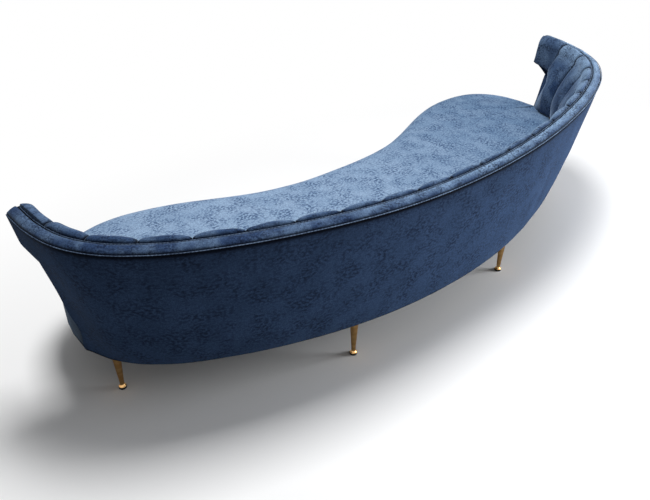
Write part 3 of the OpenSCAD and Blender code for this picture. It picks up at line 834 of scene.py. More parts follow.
class Effect:
    """A shader node group that several materials use, built once.

    Attributes:
        NAME: The group's name.
        COLOURS: Names of its colour inputs.
        VALUES: Names of its value inputs.
    """

    NAME = ""
    COLOURS: tuple[str, ...] = ()
    VALUES: tuple[str, ...] = ()

    def group(self) -> bpy.types.NodeTree:
        """Makes the node group at first use.

        Returns:
            The group.
        """
        made = bpy.data.node_groups.get(self.NAME)
        if made:
            return made
        tree = bpy.data.node_groups.new(self.NAME, "ShaderNodeTree")
        kinds = [("Place", "Vector"), *((key, "Color") for key in self.COLOURS),
                 *((key, "Float") for key in self.VALUES)]
        for key, kind in kinds:
            tree.interface.new_socket(name=key, in_out="INPUT", socket_type=f"NodeSocket{kind}")
        for key, kind in (("Color", "Color"), ("Roughness", "Float"), ("Height", "Float")):
            tree.interface.new_socket(name=key, in_out="OUTPUT", socket_type=f"NodeSocket{kind}")
        given, out = tree.nodes.new("NodeGroupInput"), tree.nodes.new("NodeGroupOutput")
        results = self.wire(Wiring(tree), {socket.name: socket for socket in given.outputs})
        for key, result in zip(("Color", "Roughness", "Height"), results):
            tree.links.new(result, out.inputs[key])
        return tree

    def wire(self, w: Wiring, given: dict[str, Socket]) -> tuple[Socket, Socket, Socket]:
        """Wires the effect; each effect has its own.

        Args:
            w: The group's wiring.
            given: The group's inputs by name.

        Returns:
            Colour, roughness and height.
        """
        raise NotImplementedError

    def place(self, w: Wiring, shader: Node, values: dict[str, object], bump: float,
              strength: float) -> None:
        """Places the effect in a material and joins it to its shader.

        Args:
            w: The material's wiring.
            shader: Its Principled BSDF.
            values: What feeds the group's inputs.
            bump: Height of the relief in metres.
            strength: Strength of the bump.
        """
        effect = w.add("Group", node_tree=self.group())
        for key, value in values.items():
            w.feed(effect.inputs[key], value)
        relief = w.add("Bump", {"Height": effect.outputs["Height"], "Distance": bump,
                                "Strength": strength})
        w.feed(shader.inputs["Base Color"], effect.outputs["Color"])
        w.feed(shader.inputs["Roughness"], effect.outputs["Roughness"])
        w.feed(shader.inputs["Normal"], relief.outputs["Normal"])


class CrushedPile(Effect):
    """Crushed velvet: pale and dark mottling, dark flecks along the cloth and a fine pile texture,
    under painted sheen and painted shade.
    """

    NAME = "crushed pile"
    COLOURS = ("Pile", "Pale", "Fleck")
    VALUES = ("Mottle", "Flecks", "Crease", "Nap", "Fine")
    # Colour of the painted shade at its darkest
    SHADE_COLOUR = (0.0015, 0.002, 0.005)

    def wire(self, w: Wiring, given: dict[str, Socket]) -> tuple[Socket, Socket, Socket]:
        """Wires mottling, flecks and the fine pile, then painted sheen and painted shade, over one
        another.

        Args:
            w: The group's wiring.
            given: The group's inputs by name.

        Returns:
            Colour, roughness and height.
        """
        sized = w.add("VectorMath", {"Scale": given["Fine"]}, operation="SCALE")
        w.feed(sized.inputs[0], given["Place"])
        cloth = sized.outputs["Vector"]
        patches = w.fade(w.noise(cloth, scale=9, detail=6), low=0.40, high=0.62)
        # Pale share: the pale mottling patches, plus the painted sheen from the mesh
        pale_share = w.calc("ADD", w.calc("MULTIPLY", patches, given["Mottle"]), given["Nap"])
        base = w.blend(pale_share, given["Pile"], given["Pale"])
        clusters = w.fade(w.noise(cloth, scale=16, detail=12), low=0.36, high=0.66, floor=0.28)
        streaks = w.noise(cloth, scale=120, detail=10, stretch=(0.75, 1, 1))
        crushed = w.calc("MULTIPLY", clusters, w.fade(streaks, low=0.38, high=0.62))
        fleck_share = w.calc("MULTIPLY", crushed, given["Flecks"])
        flecked = w.blend(fleck_share, base, given["Fleck"])
        nap = w.noise(cloth, scale=330, detail=3, stretch=(0.7, 1, 1))
        nap_share = w.calc("MULTIPLY", w.fade(nap, low=0.40, high=0.62), given["Flecks"])
        napped = w.blend(w.calc("MULTIPLY", nap_share, 0.5), flecked, given["Fleck"])
        # Painted shade: the colour darkens towards the shade colour where the mesh says so
        colour = w.blend(given["Crease"], napped, self.SHADE_COLOUR)
        roughness = w.fade(crushed, low=0, high=1, floor=0.86, ceiling=0.62)
        height = w.calc("SUBTRACT", w.calc("MULTIPLY", nap, 0.5), crushed)
        return colour, roughness, height


class Grain(Effect):
    """The grain of wood, foam and metal: streaks along one axis over fine noise."""

    NAME = "grain"
    COLOURS = ("Light", "Dark")
    VALUES = ("Rough",)

    def wire(self, w: Wiring, given: dict[str, Socket]) -> tuple[Socket, Socket, Socket]:
        """Wires the streaks.

        Args:
            w: The group's wiring.
            given: The group's inputs by name.

        Returns:
            Colour, roughness and height.
        """
        streaks = w.noise(given["Place"], scale=60, detail=5, stretch=(0.15, 1, 1))
        colour = w.blend(w.fade(streaks, low=0.3, high=0.7), given["Light"], given["Dark"])
        spread = w.fade(streaks, low=0.3, high=0.7, floor=-0.06, ceiling=0.06)
        return colour, w.calc("ADD", spread, given["Rough"]), streaks


class Finish:
    """A material that is made once and then shared.

    Attributes:
        made: The materials so far, by name.
        name: The material's name.
    """

    made: dict[str, bpy.types.Material] = {}
    name: str

    def material(self) -> bpy.types.Material:
        """Makes the material at first use.

        Returns:
            The material.
        """
        if self.name not in Finish.made:
            made = bpy.data.materials.new(self.name)
            made.use_nodes = True
            made.node_tree.nodes.clear()
            w = Wiring(made.node_tree)
            shader = w.add("BsdfPrincipled")
            w.add("OutputMaterial", {"Surface": shader.outputs["BSDF"]})
            self.wire(w, shader)
            Finish.made[self.name] = made
        return Finish.made[self.name]

    def wire(self, w: Wiring, shader: Node) -> None:
        """Sets and feeds the shader; each finish has its own.

        Args:
            w: The material's wiring.
            shader: Its Principled BSDF.
        """
        raise NotImplementedError


@dataclass(frozen=True)
class Velvet(Finish):
    """Crushed velvet.

    Attributes:
        name: The material's name.
        pile: Main colour.
        pale: Colour of the pale mottling and of the painted sheen.
        fleck: Colour of the crushed flecks.
        mottle: Share of pale patches.
        flecks: Strength of the flecks.
        fine: How fine the effect is.
        sheen: Strength of the pale sheen at grazing angles.
        sheen_rough: How wide the sheen spreads.
        sheen_tint: The sheen's colour.
        gloss: Level of the mirror gloss.
        bump: Height of the crushed pile in metres.
        strength: Strength of its bump.
    """

    name: str
    pile: Colour
    pale: Colour
    fleck: Colour
    mottle: float
    flecks: float
    fine: float
    sheen: float
    sheen_rough: float = 0.38
    sheen_tint: Colour = (0.55, 0.72, 0.96)
    gloss: float = 0.02
    bump: float = 0.0008
    strength: float = 0.6

    def wire(self, w: Wiring, shader: Node) -> None:
        """Wires the pile effect to a shader with sheen.

        Args:
            w: The material's wiring.
            shader: Its Principled BSDF.
        """
        for key, value in (("Sheen Weight", self.sheen), ("Sheen Roughness", self.sheen_rough),
                           ("Sheen Tint", self.sheen_tint), ("Specular IOR Level", self.gloss)):
            w.feed(shader.inputs[key], value)
        # Painted shade and painted sheen, read from the mesh's attributes
        crease, nap = (w.add("Attribute", attribute_name=key).outputs["Fac"]
                       for key in ("crease", "nap"))
        values = {"Place": w.add("TexCoord").outputs["UV"], "Pile": self.pile, "Pale": self.pale,
                  "Fleck": self.fleck, "Mottle": self.mottle, "Flecks": self.flecks,
                  "Fine": self.fine, "Crease": crease, "Nap": nap}
        CrushedPile().place(w, shader, values, self.bump, self.strength)


@dataclass(frozen=True)
class Grained(Finish):
    """A plain material with a faint grain: wood, foam, metal, nylon or dust cloth.

    Attributes:
        name: The material's name.
        light: Colour between the streaks.
        dark: Colour of the streaks.
        rough: Roughness.
        metal: 1 for metal.
        bump: Height of the grain in metres.
        strength: Strength of its bump.
    """

    name: str
    light: Colour
    dark: Colour
    rough: float
    metal: float = 0
    bump: float = 0.0002
    strength: float = 1

    def wire(self, w: Wiring, shader: Node) -> None:
        """Wires the grain to a shader.

        Args:
            w: The material's wiring.
            shader: Its Principled BSDF.
        """
        w.feed(shader.inputs["Metallic"], self.metal)
        values = {"Place": w.add("TexCoord").outputs["Object"], "Light": self.light,
                  "Dark": self.dark, "Rough": self.rough}
        Grain().place(w, shader, values, self.bump, self.strength)


# One velvet in several copies, as painted light and shade: the seat's copy is paler, the back's,
# band's and outer cover's darker, and the piping's darker still, for how the light falls on each
# part and on the seams
SEAT_VELVET = Velvet("seat velvet", pile=srgb(112, 140, 170), pale=srgb(150, 174, 200),
                     fleck=srgb(44, 68, 104), mottle=0.3, flecks=0.95, fine=1, sheen=0.35)
BACK_VELVET = Velvet("back velvet", pile=srgb(52, 74, 108), pale=srgb(132, 160, 192),
                     fleck=srgb(16, 25, 46), mottle=0.3, flecks=0.9, fine=1.2, sheen=0.5)
BAND_VELVET = Velvet("band velvet", pile=srgb(50, 70, 104), pale=srgb(132, 160, 192),
                     fleck=srgb(16, 25, 46), mottle=0.35, flecks=0.9, fine=1.2, sheen=0.5)
OUTER_VELVET = Velvet("outer velvet", pile=srgb(60, 82, 116), pale=srgb(72, 96, 134),
                      fleck=srgb(24, 34, 56), mottle=0.4, flecks=0.8, fine=0.8, sheen=0.1)
PIPING_VELVET = Velvet("piping velvet", pile=srgb(32, 44, 68), pale=srgb(138, 162, 194),
                       fleck=srgb(16, 24, 42), mottle=0.2, flecks=0.3, fine=1, sheen=0.3)
WELT_VELVET = Velvet("welt velvet", pile=srgb(12, 16, 28), pale=srgb(18, 24, 40),
                     fleck=srgb(6, 8, 16), mottle=0.4, flecks=0.5, fine=1, sheen=0.02)
BRASS = Grained("brass", srgb(238, 192, 130), srgb(214, 164, 104), rough=0.34, metal=1)
NYLON = Grained("black nylon", srgb(20, 20, 20), srgb(12, 12, 12), rough=0.5)
STEEL = Grained("zinc steel", srgb(190, 192, 194), srgb(168, 170, 172), rough=0.4, metal=1)
FOAM = Grained("foam", srgb(236, 226, 196), srgb(222, 208, 172), rough=0.95)
PLYWOOD = Grained("plywood", srgb(206, 174, 132), srgb(180, 144, 102), rough=0.7)
HARDWOOD = Grained("hardwood", srgb(198, 160, 112), srgb(166, 124, 80), rough=0.65)
DUST_CLOTH = Grained("dust cloth", srgb(34, 34, 37), srgb(22, 22, 24), rough=0.9)


@dataclass
class OuterBack:
    """The smooth outer cover of the back and the strips that close its ends.

    Attributes:
        form: The sofa's shape.
        columns: Columns of the middle part.
        wing_columns: Columns along a wing.
        corner_steps: Steps round a wing's corner.
        low_rows: Rows under the wings' lower edge.
        high_rows: Rows over it.
        end_reach: Run over which the cover follows the line of the back's end.
        skin: How far the velvet lies inside the solid's face.
        slack: Depth of the velvet's slow waves.
        slack_len: Their length.
        taut_h: Height under the seam over which they fade.
        seam_shade: Painted shade right under the seam.
        seam_w: Height of that dark line.
        shade: Darkness of the wider shade below it.
        shade_w: Height of that shade.
        strip_rows: Steps of the end strip up the back's end.
        strip_low: Steps along the wing's lower edge.
        strip_tip: Steps up the wing's tip.
        strip_points: Points across the end strip.
        strip_w: Width of cloth across the strip.
        strip_shade: Painted shade over the whole strip.
        lap: Width of the lap that the strip turns onto the front.
        lap_points: Points across the lap.
        tuck: Gaps that its inner face lies further behind the pads.
    """

    form: SofaForm
    columns: int = 260
    wing_columns: int = 13
    corner_steps: int = 9
    low_rows: int = 30
    high_rows: int = 16
    end_reach: float = 0.25
    skin: float = 0.0006
    slack: float = 0.0007
    slack_len: float = 0.23
    taut_h: float = 0.08
    seam_shade: float = 0.95
    seam_w: float = 0.013
    shade: float = 0.35
    shade_w: float = 0.06
    strip_rows: int = 30
    strip_low: int = 14
    strip_tip: int = 12
    strip_points: int = 17
    strip_w: float = 0.1
    strip_shade: float = 0.35
    lap: float = 0.003
    lap_points: int = 6
    tuck: int = 6

    def cover(self) -> None:
        """Builds the outer cover as one closed shell with its rounded wing corners."""
        f = self.form
        corner = f.tip_s - f.wing_corner * np.cos(np.linspace(0, math.pi / 2, self.corner_steps))
        straight = np.linspace(f.end_s, f.tip_s - f.wing_corner, self.wing_columns)[1:-1]
        wing = np.concatenate([straight, corner])
        s = np.concatenate([-wing[::-1], np.linspace(-f.end_s, f.end_s, self.columns), wing])
        edge, top = f.wing_edge(s)[:, None], f.cover_top(s)[:, None]
        low = np.linspace(0, 1, self.low_rows, endpoint=False)[None]
        high = np.linspace(0, 1, self.high_rows)[None]
        z = np.hstack([f.trim_z + (edge - f.trim_z) * low, edge + (top - edge) * high])
        run = np.repeat(s[:, None], z.shape[1], 1)
        near_end = smooth_step((np.abs(run) - f.end_s + self.end_reach) / self.end_reach)
        near_end = near_end * (np.abs(run) <= f.end_s + MICRON)
        run = run + np.sign(run) * near_end * (f.end_line(z) - f.end_s)
        taut = smooth_step((top - z) / self.taut_h)
        outer = f.outer_q(run, z)
        slack = self.slack * waves(run, z, self.slack_len, seed=5) * taut
        grids = f.at(run, outer + self.skin + slack, z), f.at(run, outer + f.cover_t, z)
        keep = np.ones((len(s) - 1, z.shape[1] - 1), bool)
        free = np.abs((s[1:] + s[:-1]) / 2) > f.end_s
        keep[np.ix_(free, np.arange(z.shape[1] - 1) < self.low_rows)] = False
        # Painted shade: a dark line right under the seam and a wider shade below it
        crease = (self.seam_shade * bell(top - z, self.seam_w)
                  + self.shade * trail(top - z, self.shade_w))
        piece = shell(*grids, fabric(run, z, np.clip(crease, 0, 1)), keep)
        piece.build("outer_cover", OUTER_VELVET, Slot.OUTER, ("outer_back_cover",))

    def strip_path(self) -> Array:
        """The end strip's path up the back's end, along the wing's lower edge and up its tip.

        Returns:
            Run, height, and the way through the strip's thickness as run and height, by rows.
        """
        f = self.form
        t, r = f.cover_t, f.wing_corner
        low_z, tip_z = float(f.low_z(f.end_s)), float(f.low_z(f.tip_s))
        rows = [[float(f.end_line(z)), z, -t, 0]
                for z in np.linspace(f.trim_z, low_z - t, self.strip_rows)]
        rows += [[s, float(f.low_z(s)), 0, t]
                 for s in np.linspace(f.end_s - t, f.tip_s - r, self.strip_low)]
        rows[self.strip_rows][2] = -t / 2
        turn = np.linspace(0, math.pi / 2, self.corner_steps)[1:]
        rows += [[f.tip_s - r + r * math.sin(a), tip_z + r - r * math.cos(a),
                  -t * math.sin(a), t * math.cos(a)] for a in turn]
        tip = np.linspace(tip_z + r, float(f.cover_top(f.tip_s)), self.strip_tip)[1:]
        return np.array(rows + [[f.tip_s, z, -t, 0] for z in tip])

    def end_strip(self, side: Side) -> None:
        """Builds the strip that closes the back's end and the wing's free edges.

        Args:
            side: Which end.
        """
        f = self.form
        s, z, ds, dz = self.strip_path().T[..., None]
        share = np.linspace(0, 1, self.strip_points)[None]
        below = slice(0, self.strip_rows)
        lap = np.full_like(s, self.lap)
        free = s[below] - np.abs(f.fanned(f.channels, z[below]))
        lap[below] = np.maximum(self.lap, free + self.lap)
        lap = lap * np.linspace(1, 0, self.lap_points, endpoint=False)[None]
        grids = []
        for inset in (0, 1):
            here_s, here_z = side.value * (s + ds * inset), z + dz * inset
            clear = f.gap * (1 + self.tuck * inset)
            front = f.rear_q(here_s, here_z) - clear
            rear = f.outer_q(here_s, here_z) + f.cover_t + f.gap
            lap_s = here_s + side.value * lap * ds / f.cover_t
            lap_z = here_z + lap * dz / f.cover_t
            grids.append(np.hstack([f.at(lap_s, f.rear_q(lap_s, lap_z) - clear, lap_z),
                                    f.at(here_s, front + (rear - front) * share, here_z)]))
        across = np.hstack([-lap, 0 * z + self.strip_w * share])
        # Painted shade over the whole end strip
        cloth = fabric(z + s, across, self.strip_shade)
        label = side.name.lower()
        shell(*side.turned(*grids, cloth)).build(f"end_strip_{label}", OUTER_VELVET, Slot.OUTER,
                                                 (f"end_cover_{label}",))

    def build(self) -> None:
        """Builds all the pieces of the outer back."""
        self.cover()
        for side in Side:
            self.end_strip(side)


@dataclass
class TopBand:
    """The padded band along the top of the back, with its two piping cords.

    Attributes:
        form: The sofa's shape.
        crown: Height of the band's crown.
        groove: Depth of the grooves beside the piping.
        depth: Thickness of the band's pad.
        start: Depth at which the band's face starts.
        spare: How much narrower than the band its face is.
        lap: Depth of the band's edge under its face.
        boxy: How boxy the crown is.
        points: Points across the face.
        pucker: Depth of the puckers beside the seams.
        pucker_at: Their distance from the seam and their reach.
        pucker_len: Their length along the seam.
        pucker_w: Width of their pattern across the band.
        soft: Depth of the pad's soft waves.
        soft_len: Their length.
        drop: How far the band drops at its two ends.
        drop_over: Run over which it drops.
        seam_shade: Painted shade beside the seams.
        seam_w: Width of that dark line.
        pale: Strength of the painted sheen.
        pale_from: Run from which it is pale.
        pale_over: Run over which it turns pale.
        pale_growth: How fast it turns pale across the band's width.
        pale_late: How late it starts to.
        cord_r: Radius of the piping cords as they show.
        stitch: Length of one stitch along them.
        dash_low: Painted sheen on the cords between the stitches.
        dash_high: Further paleness on the stitches.
        dash_from: Run from which the cords are pale.
        dash_over: Run over which they turn pale.
        twist: Height of the cords' twist.
        twist_len: Length of one turn.
        tuck: How far the cords' ends are tucked in.
        step: Spacing of the sections.
    """

    form: SofaForm
    crown: float = 0.007
    groove: float = 0.005
    depth: float = 0.012
    start: float = 0.0045
    spare: float = 0.0055
    lap: float = 0.003
    boxy: float = 2.4
    points: int = 23
    pucker: float = 0.0010
    pucker_at: float = 0.005
    pucker_len: float = 0.014
    pucker_w: float = 0.02
    soft: float = 0.0012
    soft_len: float = 0.08
    drop: float = 0.004
    drop_over: float = 0.008
    seam_shade: float = 0.95
    seam_w: float = 0.0032
    pale: float = 0.75
    pale_from: float = 0.9
    pale_over: float = 1.1
    pale_growth: float = 1.6
    pale_late: float = 0.2
    cord_r: float = 0.0016
    stitch: float = 0.012
    dash_low: float = 0.15
    dash_high: float = 0.4
    dash_from: float = 2.6
    dash_over: float = 2.2
    twist: float = 0.00025
    twist_len: float = 0.0085
    tuck: float = 0.004
    step: float = 0.0035

    def stations(self) -> Array:
        """Runs of the sections."""
        reach = self.form.tip_s
        return np.linspace(-reach, reach, int(2 * reach / self.step))

    def band(self) -> None:
        """Builds the band with its crown and the small puckers beside its seams."""
        f = self.form
        s = self.stations()[:, None]
        one = np.ones_like(s)
        share = np.linspace(0, 1, self.points)[None]
        width = f.band_w - self.spare
        swell = (1 - np.abs(2 * share - 1) ** self.boxy) ** 0.5
        from_seam = np.minimum(share, 1 - share) * width
        pucker = self.pucker * bell(from_seam - self.pucker_at, self.pucker_at)
        lift = (pucker * waves(s, share * self.pucker_w, self.pucker_len, seed=3)
                + self.soft * swell * waves(s, share * width, self.soft_len, seed=7)
                - self.drop * trail(f.tip_s - np.abs(s), self.drop_over))
        face_z = (f.top(s) + share * f.band_rise - self.groove
                  + swell * (self.crown + self.groove + lift))
        face_q = (self.start + share * width) * one
        inner_q, inner_z = (f.rear_top_q - 2 * f.gap) * one, f.top(s)
        q = np.hstack([(f.cover_t + f.gap) * one, self.lap * one, face_q, inner_q, inner_q])
        z = np.hstack([f.top(s) - self.depth, f.top(s) - self.groove, face_z,
                       f.top(s) + f.band_rise - self.groove, inner_z])
        # Painted shade: the band's edges under its face take the full shade colour, and its face
        # darkens beside the seams
        dark = np.hstack([one, one, self.seam_shade * bell(from_seam, self.seam_w) * one, one, one])
        # Painted sheen: paler towards -X and towards the inner edge
        nap = self.pale * smooth_step((self.pale_from - s) / self.pale_over)
        nap = nap * smooth_step(q / f.band_w * self.pale_growth - self.pale_late)
        band = loft(f.at(s, q, z), fabric(s, q, dark, nap))
        band.build("band", BAND_VELVET, Slot.BAND, ("top_band",))

    def piping(self, name: str, node: str, q: float, rise: float) -> None:
        """Builds one piping cord.

        Args:
            name: The piece's name.
            node: The CAD node that it replaces.
            q: Depth of the cord.
            rise: Height over the outer seam.
        """
        f = self.form
        s = self.stations()
        twist = self.twist * np.sin(2 * math.pi * s / self.twist_len)
        tuck = self.tuck * trail(f.tip_s - np.abs(s), self.tuck)
        line = f.at(s * (1 - self.tuck / f.tip_s), q + tuck,
                    f.top(s) + rise - f.piping_r / 2 + twist - tuck / 2)
        # The stitches' pale dashes are the cords' own pattern; the paleness that fades along the
        # run is painted sheen
        stitches = smooth_step(0.5 + np.sin(2 * math.pi * s / self.stitch))
        pale = smooth_step((self.dash_from - s) / self.dash_over)
        dashes = (self.dash_low + self.dash_high * stitches) * pale
        cord(line, self.cord_r, s, dashes).build(name, PIPING_VELVET, Slot.PIPING, (node,))

    def build(self) -> None:
        """Builds the band and its piping."""
        self.band()
        self.piping("outer_cord", "outer_piping", 0.0, 0.0)
        self.piping("inner_cord", "inner_piping", self.form.piping_q, self.form.band_rise)


@dataclass
class InnerBack:
    """The sewn channels of the inner back and the smooth pads of the wings.

    Attributes:
        form: The sofa's shape.
        across: Sections of one channel.
        roll_points: Points down the rolled top.
        face_points: Points down the face.
        rear_points: Points up the rear.
        boxy: How boxy a channel's section is.
        foot_tuck: How far a channel draws in at the seat.
        foot_h: Height over which it draws in.
        fold: Depth of the folds that fan out from the valleys.
        fold_reach: Their length.
        fold_edge: Width over which they start from the seams.
        phases: Range of the phases that are drawn for them, in radians.
        pucker: Depth of the small puckers at the seam.
        pucker_at: Their distance from the seam.
        pucker_w: Their reach.
        pucker_len: Their length along the seam.
        pucker_across: Scale of their pattern away from the seam.
        valley: Depth of the small waves in the valleys.
        valley_w: Their reach.
        valley_len: Their length.
        soft: Depth of the pads' soft waves.
        soft_len: Their length.
        soft_from: Distance from the seam over which both kinds of waves start.
        foot_fade: Distance from the seat over which all folds fade.
        seam_fade: Distance from the seam over which they start.
        seam_w: Width of the painted shade lines at the seam and in the valleys.
        valley_dark: Painted shade in the valleys.
        valley_shade: Darkness of the wider shade beside them.
        shade_w: Width of that shade.
        pale: Strength of the painted highlight on the rolled tops.
        pale_start: Distance from the seam at which it sets in.
        pale_in: Length over which it sets in.
        pale_end: Distance from the seam at which it starts to fade.
        pale_out: Length over which it fades.
        pale_from: Run from which it is pale.
        pale_over: Run over which it turns pale.
    """

    form: SofaForm
    across: int = 33
    roll_points: int = 30
    face_points: int = 34
    rear_points: int = 5
    boxy: float = 2.2
    foot_tuck: float = 0.007
    foot_h: float = 0.012
    fold: float = 0.0022
    fold_reach: float = 0.045
    fold_edge: float = 0.004
    phases: float = 6.28
    pucker: float = 0.0011
    pucker_at: float = 0.006
    pucker_w: float = 0.008
    pucker_len: float = 0.013
    pucker_across: float = 0.3
    valley: float = 0.0008
    valley_w: float = 0.01
    valley_len: float = 0.03
    soft: float = 0.0010
    soft_len: float = 0.11
    soft_from: float = 0.02
    foot_fade: float = 0.03
    seam_fade: float = 0.003
    seam_w: float = 0.008
    valley_dark: float = 0.85
    valley_shade: float = 0.25
    shade_w: float = 0.02
    pale: float = 0.8
    pale_start: float = 0.012
    pale_in: float = 0.02
    pale_end: float = 0.06
    pale_out: float = 0.10
    pale_from: float = 1.1
    pale_over: float = 1.2

    # Counts of the folds that fan out from a valley's top
    FANS = (5, 8, 13)

    def lift(self, s: Array, out: Array, full: Array, seed: int) -> Array:
        """Height of the folds, puckers and waves over a channel's smooth front.

        Args:
            s: Runs of the sections, as a column.
            out: Distance of each point from the seam.
            full: How full each section is, as a column.
            seed: Start of the random draws.

        Returns:
            The heights.
        """
        edge = np.minimum(s - s[0], s[-1] - s)
        angle = np.arctan2(out, edge + MICRON)
        draw = np.random.default_rng(seed)
        fan = sum(np.sin(n * angle + draw.uniform(0, self.phases)) for n in self.FANS)
        folds = (self.fold * fan / len(self.FANS) * trail(np.hypot(edge, out), self.fold_reach)
                 * smooth_step(edge / self.fold_edge) * smooth_step(out / self.fold_edge))
        small = (self.pucker * bell(out - self.pucker_at, self.pucker_w)
                 * waves(s, out * self.pucker_across, self.pucker_len, seed + 1))
        valley = (self.valley * trail(edge, self.valley_w)
                  * waves(out, edge, self.valley_len, seed + 2))
        soft = self.soft * waves(s, out, self.soft_len, seed + 3) * full
        return folds + small * full + (valley + soft) * smooth_step(out / self.soft_from)

    def section(self, s: Array, swell: Array, seed: int) -> Array:
        """Closed cross-sections of a pad, from the seam down its face and up its rear.

        Args:
            s: Runs of the sections.
            swell: How full each section is, 0 to 1.
            seed: Start of the random draws.

        Returns:
            Depth and height of each point, sections by points by 2.
        """
        f = self.form
        full = swell[:, None]
        down, high = f.face_rows(s, swell, self.roll_points, self.face_points)
        down = down - self.foot_tuck * full * bell(high - f.pad_z, self.foot_h)
        middle = len(s) // 2
        out = run_along(np.stack([down[middle], high[middle]], -1))[None]
        slope_q, slope_z = np.gradient(down, axis=1), np.gradient(high, axis=1)
        lift = self.lift(s[:, None], out, full, seed)
        lift = lift * smooth_step((out[:, -1:] - out) / self.foot_fade)
        lift = lift * smooth_step(out / self.seam_fade) / (np.hypot(slope_q, slope_z) + TINY)
        down, high = down - slope_z * lift, high + slope_q * lift
        up = np.arange(self.rear_points)[None] / self.rear_points
        rear_z = up * (high[:, :1] - f.pad_z) + f.pad_z
        rear = f.rear_q(s[:, None], rear_z)
        return np.stack([np.hstack([down, rear]), np.hstack([high, rear_z])], -1)

    def channel(self, k: int) -> None:
        """Builds one channel.

        Args:
            k: Its number from 0.
        """
        f = self.form
        u = np.sin(np.linspace(-1, 1, self.across) * math.pi / 2)
        swell = np.sqrt(np.maximum(0, 1 - np.abs(u) ** self.boxy))
        first, last = f.channel_edge(k) + f.gap / 2, f.channel_edge(k + 1) - f.gap / 2
        s = (first + last) / 2 + u * (last - first) / 2
        q, z = np.moveaxis(self.section(s, swell, seed=11 * k + 1), 2, 0)
        s = s[:, None]
        front = slice(0, self.roll_points + self.face_points)
        q[:, front] = f.thinned(k, u, q[:, front], z[:, front], f.rear_q(s, z[:, front]))
        low, high = f.fanned(k, z) + f.gap / 2, f.fanned(k + 1, z) - f.gap / 2
        rings = f.at((low + high) / 2 + u[:, None] * (high - low) / 2, q, z)
        stretch = np.linalg.norm(np.diff(rings, axis=1, prepend=rings[:, :1]), axis=2)
        length = np.cumsum(stretch, 1)
        edge = np.minimum(s - s[0], s[-1] - s)
        # Painted shade: dark lines at the seam and in the valleys, and a wider shade beside them
        crease = (bell(length, self.seam_w) + self.valley_dark * bell(edge, self.seam_w)
                  + self.valley_shade * trail(edge, self.shade_w))
        # Painted highlight on the rolled tops, fading towards +X
        rolled = (smooth_step((length - self.pale_start) / self.pale_in)
                  * (1 - smooth_step((length - self.pale_end) / self.pale_out)))
        nap = self.pale * rolled * smooth_step((self.pale_from - s) / self.pale_over)
        number = f"{k + 1:02d}"
        pad = loft(rings, fabric(s, length, np.clip(crease, 0, DARKEST), nap))
        pad.build(f"channel_pad_{number}", BACK_VELVET, Slot.BACK, (f"channel_{number}",),
                            sharp=70)

    def build(self) -> None:
        """Builds the channels and the wing pads."""
        for k in range(self.form.channels):
            self.channel(k)
        for side in Side:
            WingPad(self.form, side).build()


